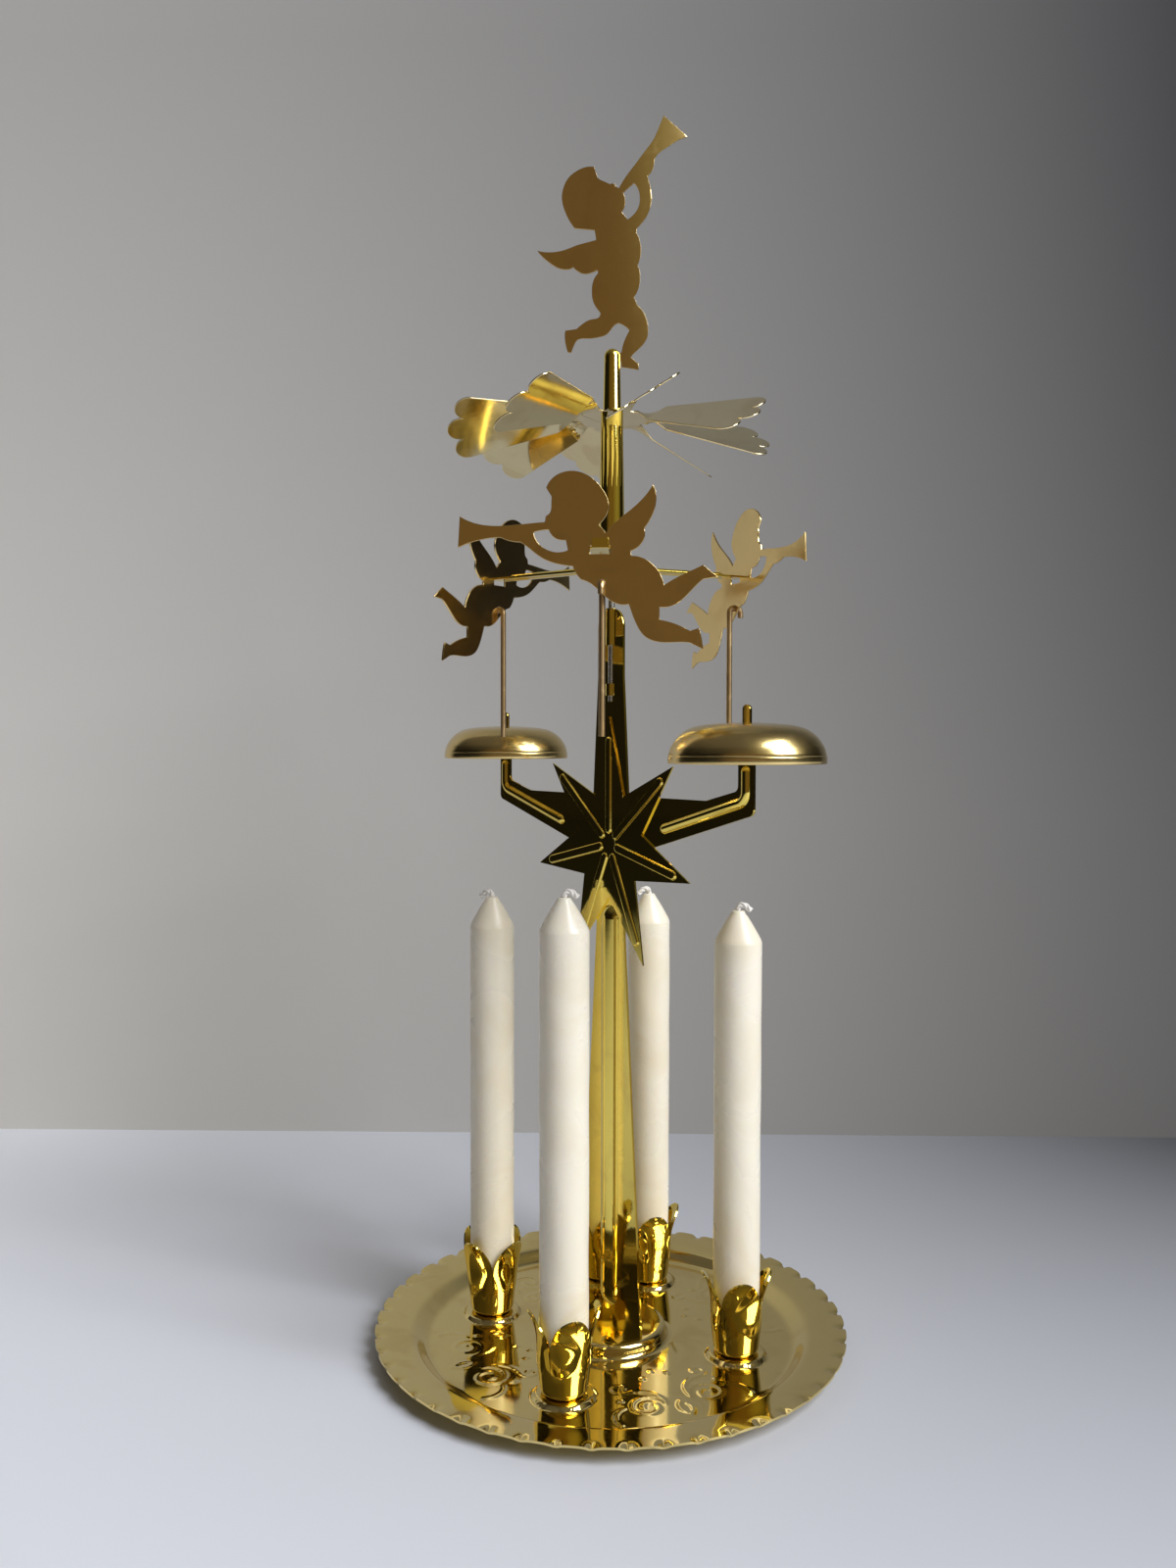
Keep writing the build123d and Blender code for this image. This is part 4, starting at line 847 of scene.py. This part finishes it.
twist_threads(wick_model)
smooth(wick_model, degrees=60)
wick_model.data.materials.append(finishes["cotton_wick"])
for name, direction in WICK_DIRECTIONS.items():
    top = CANDLE_FOOT + CANDLE_LENGTHS[name] + TIP_HEIGHT
    thread = place_copy(wick_model, "twisted_wick_" + name, direction, candle_place(name, top))
    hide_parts("wick_" + name)
    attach(thread, "candle_" + name)
    print(thread.name, "triangles:", triangles(thread))
bpy.data.objects.remove(wick_model)

# %% [markdown]
# ## Bells
# Each bell was turned to a satin finish, with a flat top, a round shoulder and a small step
# above its rim. Half a ball squashed flat has no such shoulder. So the outline follows a
# smooth line through a few measured points. It is drawn once round the outer and the inner
# side and spun, so that the wall and the hole for the peg are part of the same mesh.

# %% The bell's curve
BELL_RADIUS, BELL_HEIGHT, BELL_SHEET, BELL_HOLE = 16.8, 8.7, 0.5, 1.27
BELL_ACROSS = (0.0, 0.36, 0.685, 0.86, 0.968, 1.0)
BELL_UP = (1.0, 0.975, 0.885, 0.68, 0.38, 0.14)
BELL_RIM_SLOPE, BELL_RINGS = -8.0, 26

inner_slopes = [(BELL_UP[i + 1] - BELL_UP[i - 1]) / (BELL_ACROSS[i + 1] - BELL_ACROSS[i - 1])
                for i in range(1, len(BELL_UP) - 1)]
bell_slopes = [0.0] + inner_slopes + [BELL_RIM_SLOPE]


def bell_height(radius, outer_radius, top):
    """Height of the bell at a radius: a smooth line through the curve's points."""
    share = min(radius / outer_radius, 1.0)
    i = next(k for k in range(len(BELL_UP) - 1) if share <= BELL_ACROSS[k + 1])
    width = BELL_ACROSS[i + 1] - BELL_ACROSS[i]
    t = (share - BELL_ACROSS[i]) / width
    start, start_slope = 2 * t**3 - 3 * t**2 + 1, t**3 - 2 * t**2 + t
    end, end_slope = 3 * t**2 - 2 * t**3, t**3 - t**2
    return top * (start * BELL_UP[i] + start_slope * width * bell_slopes[i]
                  + end * BELL_UP[i + 1] + end_slope * width * bell_slopes[i + 1])


def bell_side(outer_radius, top):
    """Points of radius and height from the bell's hole to its lower edge."""
    turns = [QUARTER_TURN * i / BELL_RINGS for i in range(BELL_RINGS + 1)]
    radii = [BELL_HOLE + (outer_radius - BELL_HOLE) * math.sin(turn) for turn in turns]
    return [(radius, bell_height(radius, outer_radius, top)) for radius in radii]


print("height of the bell half way out:", round(bell_height(BELL_RADIUS / 2, BELL_RADIUS, BELL_HEIGHT), 2))

# %% Turn a bell and hang two
BELL_RIM, BELL_REACH, BELL_CORNERS = 141.7, 47.8, 144
BELL_DIRECTIONS = {"right": -53.0, "left": 127.0}
STEP_TOP, INNER_EDGE_TOP = 2.1, 0.9
BELL_STEP = [(-0.10, 1.85), (-0.13, 1.70), (-0.13, 1.60), (-0.03, 1.50), (-0.01, 1.3), (0, 0.7),
             (0, 0.12), (-0.06, 0.03), (-0.16, 0.0)]
INNER_EDGE = [(0, 0.0), (0, 0.5)]

inner_radius = BELL_RADIUS - BELL_SHEET
outside = [point for point in bell_side(BELL_RADIUS, BELL_HEIGHT) if point[1] > STEP_TOP]
outside += [(BELL_RADIUS + wider, height) for wider, height in BELL_STEP]
inside = [(inner_radius + wider, height) for wider, height in INNER_EDGE]
inside += [point for point in bell_side(inner_radius, BELL_HEIGHT - BELL_SHEET)[::-1]
           if point[1] > INNER_EDGE_TOP]
bell = spin(chain("bell_model", outside + inside + [outside[0]]), BELL_CORNERS)
smooth(bell, degrees=40)
bell.data.materials.append(finishes["bell_brass"])
for name, direction in BELL_DIRECTIONS.items():
    turn = math.radians(direction)
    placed = place_copy(bell, "turned_bell_" + name, direction,
                        (BELL_REACH * math.cos(turn), BELL_REACH * math.sin(turn), BELL_RIM))
    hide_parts("bell_" + name)
    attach(placed, "bell_" + name)
    print(placed.name, "triangles:", triangles(placed))
bpy.data.objects.remove(bell)

# %% [markdown]
# ## Eased sheet edges
# The star, the column, the turbine and the figures were punched out of sheet and polished,
# which leaves a thin round edge that catches the light as a bright line. Their solids have
# the right shape with knife-sharp edges, so nothing is modelled anew: a copy of each is
# merged and its sharp edges are bevelled. The top figure's sheet is also bowed back a
# little, and the tops of the star's ribs are pressed flat.

# %% Bow the top figure and flatten the star's ribs
BOW_START, BOW_END, BOW_STEP, BOW_RADIUS = -2, 27, 1, 85.0
STAR_DIRECTION, RIB_TOP = -53.0, 1.15


def bow_back(piece):
    """Curves the top figure's right side back a little, as its sheet came out of the press."""
    edit_all(piece)
    for place in range(BOW_START, BOW_END, BOW_STEP):
        bpy.ops.mesh.select_all(action="SELECT")
        bpy.ops.mesh.bisect(plane_co=(place * MM, 0, 0), plane_no=(1, 0, 0))
    bpy.ops.object.mode_set(mode="OBJECT")
    points = points_of(piece) / MM
    beyond = np.maximum(points[:, 0] - BOW_START, 0)
    points[:, 1] += beyond ** 2 / (2 * BOW_RADIUS)
    set_points(piece, points * MM)


def flatten_ribs(piece):
    """Gives the star's ribs flat tops, so that each shows two thin lines."""
    turn = math.radians(STAR_DIRECTION)
    facing = np.array([math.sin(turn), -math.cos(turn), 0])
    points = points_of(piece) / MM
    too_far = np.maximum(points @ facing - RIB_TOP, 0)
    set_points(piece, (points - too_far[:, None] * facing) * MM)


RESHAPED = {"top_angel": bow_back, "star_plate": flatten_ribs}
print("reshaped:", sorted(RESHAPED))

# %% Ease the edges of the punched sheets
EDGE_WIDTH, EDGE_SEGMENTS, EDGE_ANGLE, SMOOTH_ANGLE = 0.15, 2, 40, 60
JOIN_DISTANCE, FLAT_ANGLE, FLAT_WEIGHT = 2e-6, 0.4, 60
PUNCHED = {"star_plate": "stand", "column_plate": "stand", "top_angel": "rotor", "angel_front": "rotor",
           "angel_right": "rotor", "angel_left": "rotor", "turbine_wheel": "rotor", "angel_carrier": "rotor"}


def eased(node_name, body):
    """A copy of a solid with its triangles joined and its sharp edges rounded."""
    node = NODES[node_name]
    piece = own_copy(node, "eased_" + node_name)
    edit_all(piece)
    bpy.ops.mesh.remove_doubles(threshold=JOIN_DISTANCE)
    bpy.ops.mesh.dissolve_limited(angle_limit=math.radians(FLAT_ANGLE))
    bpy.ops.object.mode_set(mode="OBJECT")
    if node_name in RESHAPED:
        RESHAPED[node_name](piece)
    apply_modifier(piece, "BEVEL", width=EDGE_WIDTH * MM, segments=EDGE_SEGMENTS, limit_method="ANGLE",
                   angle_limit=math.radians(EDGE_ANGLE), use_clamp_overlap=True)
    smooth(piece, SMOOTH_ANGLE)
    apply_modifier(piece, "WEIGHTED_NORMAL", keep_sharp=True, weight=FLAT_WEIGHT)
    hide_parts(node_name)
    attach(piece, body)
    return piece


for node_name, body in PUNCHED.items():
    sheet = eased(node_name, body)
    print(sheet.name, "triangles:", triangles(sheet))

# %% [markdown]
# ## Table and wall
# The photograph was taken on a white table against a pale wall. Bright metal shows what
# stands round it more than it shows light, so both matter. A picture of a room could be
# wrapped round the scene, but two plain planes do as well, with painted shade in their colour:
# each is pale round the chime, painted dark as a shadow towards the right-hand corner behind
# it, and painted darker along one axis. The wall is seen from its front alone, so that it
# doesn't hide the chime from behind.

# %% A stage with painted shade
def stage_plane(name, corners, material):
    """A flat four-cornered plane that isn't part of the object."""
    bpy.ops.object.select_all(action="DESELECT")
    bpy.ops.mesh.primitive_plane_add(size=1)
    made = bpy.context.object
    made.name = name
    for vertex, corner in zip(made.data.vertices, corners):
        vertex.co = corner
    made.data.materials.append(material)
    made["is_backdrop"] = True
    return made


def stage_finish(name, colour, painted_shade_colour, roughness, specular, centre, reach, painted_shade_until, pale_from,
                 shade_along_axis, one_sided=False):
    """A plain surface with painted shade: dark round a centre as a painted shadow, pale away from it, and
    painted darker towards one end of an axis.
    """
    material, tree, shader, place = new_material(name)
    away = vector_node(tree, "SUBTRACT", place, centre)
    away = vector_node(tree, "DIVIDE", away, reach)
    distance = vector_node(tree, "LENGTH", away, output="Value")
    # Painted shadow: the colour is dark round the centre and turns pale away from it, where the light
    # reached.
    from_centre = share_between(tree, distance, painted_shade_until, pale_from)
    axis, shaded_end, pale_end, least = shade_along_axis
    aside = add_node(tree, "ShaderNodeSeparateXYZ", {"Vector": place}).outputs[axis]
    # Painted shade along one axis: the colour darkens towards the axis's shaded end.
    along_axis = share_between(tree, aside, shaded_end, pale_end, least)
    share = math_node(tree, "MULTIPLY", from_centre, along_axis)
    tree.links.new(mix_colours(tree, share, painted_shade_colour, colour), shader.inputs["Base Color"])
    shader.inputs["Roughness"].default_value = roughness
    shader.inputs["Specular IOR Level"].default_value = specular
    if one_sided:
        side = add_node(tree, "ShaderNodeNewGeometry").outputs["Backfacing"]
        clear = add_node(tree, "ShaderNodeBsdfTransparent").outputs[0]
        both = add_node(tree, "ShaderNodeMixShader", {0: side, 1: shader.outputs[0], 2: clear})
        tree.links.new(both.outputs[0], tree.nodes["Material Output"].inputs["Surface"])
    return material

# %% Build the table and the wall
HALF_TABLE = 2.0
WALL_PLACE, WALL_LEFT, WALL_RIGHT, WALL_TOP = 0.158, -0.31, 0.31, 1.0
# Painted shade in both colours: the table has a painted shadow in its right-back corner and darkens towards
# its far left; the wall has a painted shadow at its right and darkens towards its top.
TABLE_LOOK = {"colour": (0.88, 0.90, 0.95), "painted_shade_colour": (0.02, 0.02, 0.02), "roughness": 0.42,
              "specular": 0.25, "centre": (0.32, 0.20, 0.0), "reach": (0.54, 0.46, 1.0),
              "painted_shade_until": 0.15, "pale_from": 1.0, "shade_along_axis": ("X", -0.75, -0.50, 0.0)}
WALL_LOOK = {"colour": (0.72, 0.70, 0.65), "painted_shade_colour": (0.03, 0.03, 0.03), "roughness": 0.8,
             "specular": 0.2, "centre": (0.32, 0.158, 0.60), "reach": (0.60, 1.0, 2.0),
             "painted_shade_until": 0.2, "pale_from": 0.95, "shade_along_axis": ("Z", 0.40, 0.12, 0.65), "one_sided": True}

table = stage_plane("table", [(-HALF_TABLE, -HALF_TABLE, 0), (HALF_TABLE, -HALF_TABLE, 0),
                              (-HALF_TABLE, HALF_TABLE, 0), (HALF_TABLE, HALF_TABLE, 0)],
                    stage_finish("white_table_painted_shade", **TABLE_LOOK))
wall = stage_plane("wall", [(WALL_LEFT, WALL_PLACE, 0), (WALL_RIGHT, WALL_PLACE, 0),
                            (WALL_LEFT, WALL_PLACE, WALL_TOP), (WALL_RIGHT, WALL_PLACE, WALL_TOP)],
                   stage_finish("pale_wall_painted_shade", **WALL_LOOK))
print("table looks to:", table.data.polygons[0].normal, "wall looks to:", wall.data.polygons[0].normal)

# %% [markdown]
# ## Light
# Daylight came from a tall window at the front right, with a warm glow beside it and a warm
# brown room in front. A lamp for each would cast a shadow for each. So the room is painted
# in the world's colour, where it only tints the reflections and fills the shadows, and one
# soft lamp stands for the window.

# %% Paint the room
SKY_LOW, SKY_HIGH, SKY_RISE = (0.010, 0.009, 0.008), (0.13, 0.12, 0.11), (0.3, 0.95)
ROOM_FRONT, ROOM_FRONT_RANGE = (0.14, 0.095, 0.045), (-0.60, -0.95)
GLOW, GLOW_DIRECTION, GLOW_RANGE = (0.26, 0.23, 0.11), (0.62, -0.50, 0.60), (0.72, 0.97)

world = bpy.data.worlds.new("room")
bpy.context.scene.world = world
world.use_nodes = True
room = world.node_tree
place = add_node(room, "ShaderNodeTexCoord").outputs["Generated"]
axes = add_node(room, "ShaderNodeSeparateXYZ", {"Vector": place}).outputs
towards_glow = vector_node(room, "DOT_PRODUCT", place, GLOW_DIRECTION, output="Value")
colour = SKY_LOW
for way, ends, tint in [(axes["Y"], ROOM_FRONT_RANGE, ROOM_FRONT), (axes["Z"], SKY_RISE, SKY_HIGH),
                        (towards_glow, GLOW_RANGE, GLOW)]:
    share = share_between(room, way, *ends, interpolation_type="SMOOTHSTEP")
    colour = mix_colours(room, share, colour, tint)
room.links.new(colour, room.nodes["Background"].inputs["Color"])
print("room nodes:", len(room.nodes))

# %% Hang the window
DAYLIGHT, WINDOW_WATTS = (0.97, 1.0, 1.10), 26.0
WINDOW_DIRECTION, WINDOW_DISTANCE, WINDOW_HEIGHT = -36, 1.15, 1.05
WINDOW_WIDTH, WINDOW_TALL = 0.75, 1.05
LIT_POINT = Vector((0, 0, 0.12))

window_data = bpy.data.lights.new("window", "AREA")
window_data.shape = "RECTANGLE"
window_data.size, window_data.size_y = WINDOW_WIDTH, WINDOW_TALL
window_data.energy = WINDOW_WATTS
window_data.color = DAYLIGHT
window = bpy.data.objects.new("window", window_data)
bpy.context.scene.collection.objects.link(window)
turn = math.radians(WINDOW_DIRECTION)
window.location = (WINDOW_DISTANCE * math.cos(turn), WINDOW_DISTANCE * math.sin(turn), WINDOW_HEIGHT)
window.rotation_euler = (LIT_POINT - window.location).to_track_quat("-Z", "Y").to_euler()
print("window at:", window.location)

# %% [markdown]
# ## Sizes
# The dressed model's box is set against the solids' own box, and how far it has grown is printed.
# The dressed model has to stay inside the solids' own box.

# %% Write the sizes and finish
dressed_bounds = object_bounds()
grown = [round((v - c) / MM, 2) for a, b in zip(dressed_bounds, cad_bounds) for v, c in zip(a, b)]
print("grown by, in mm:", grown)
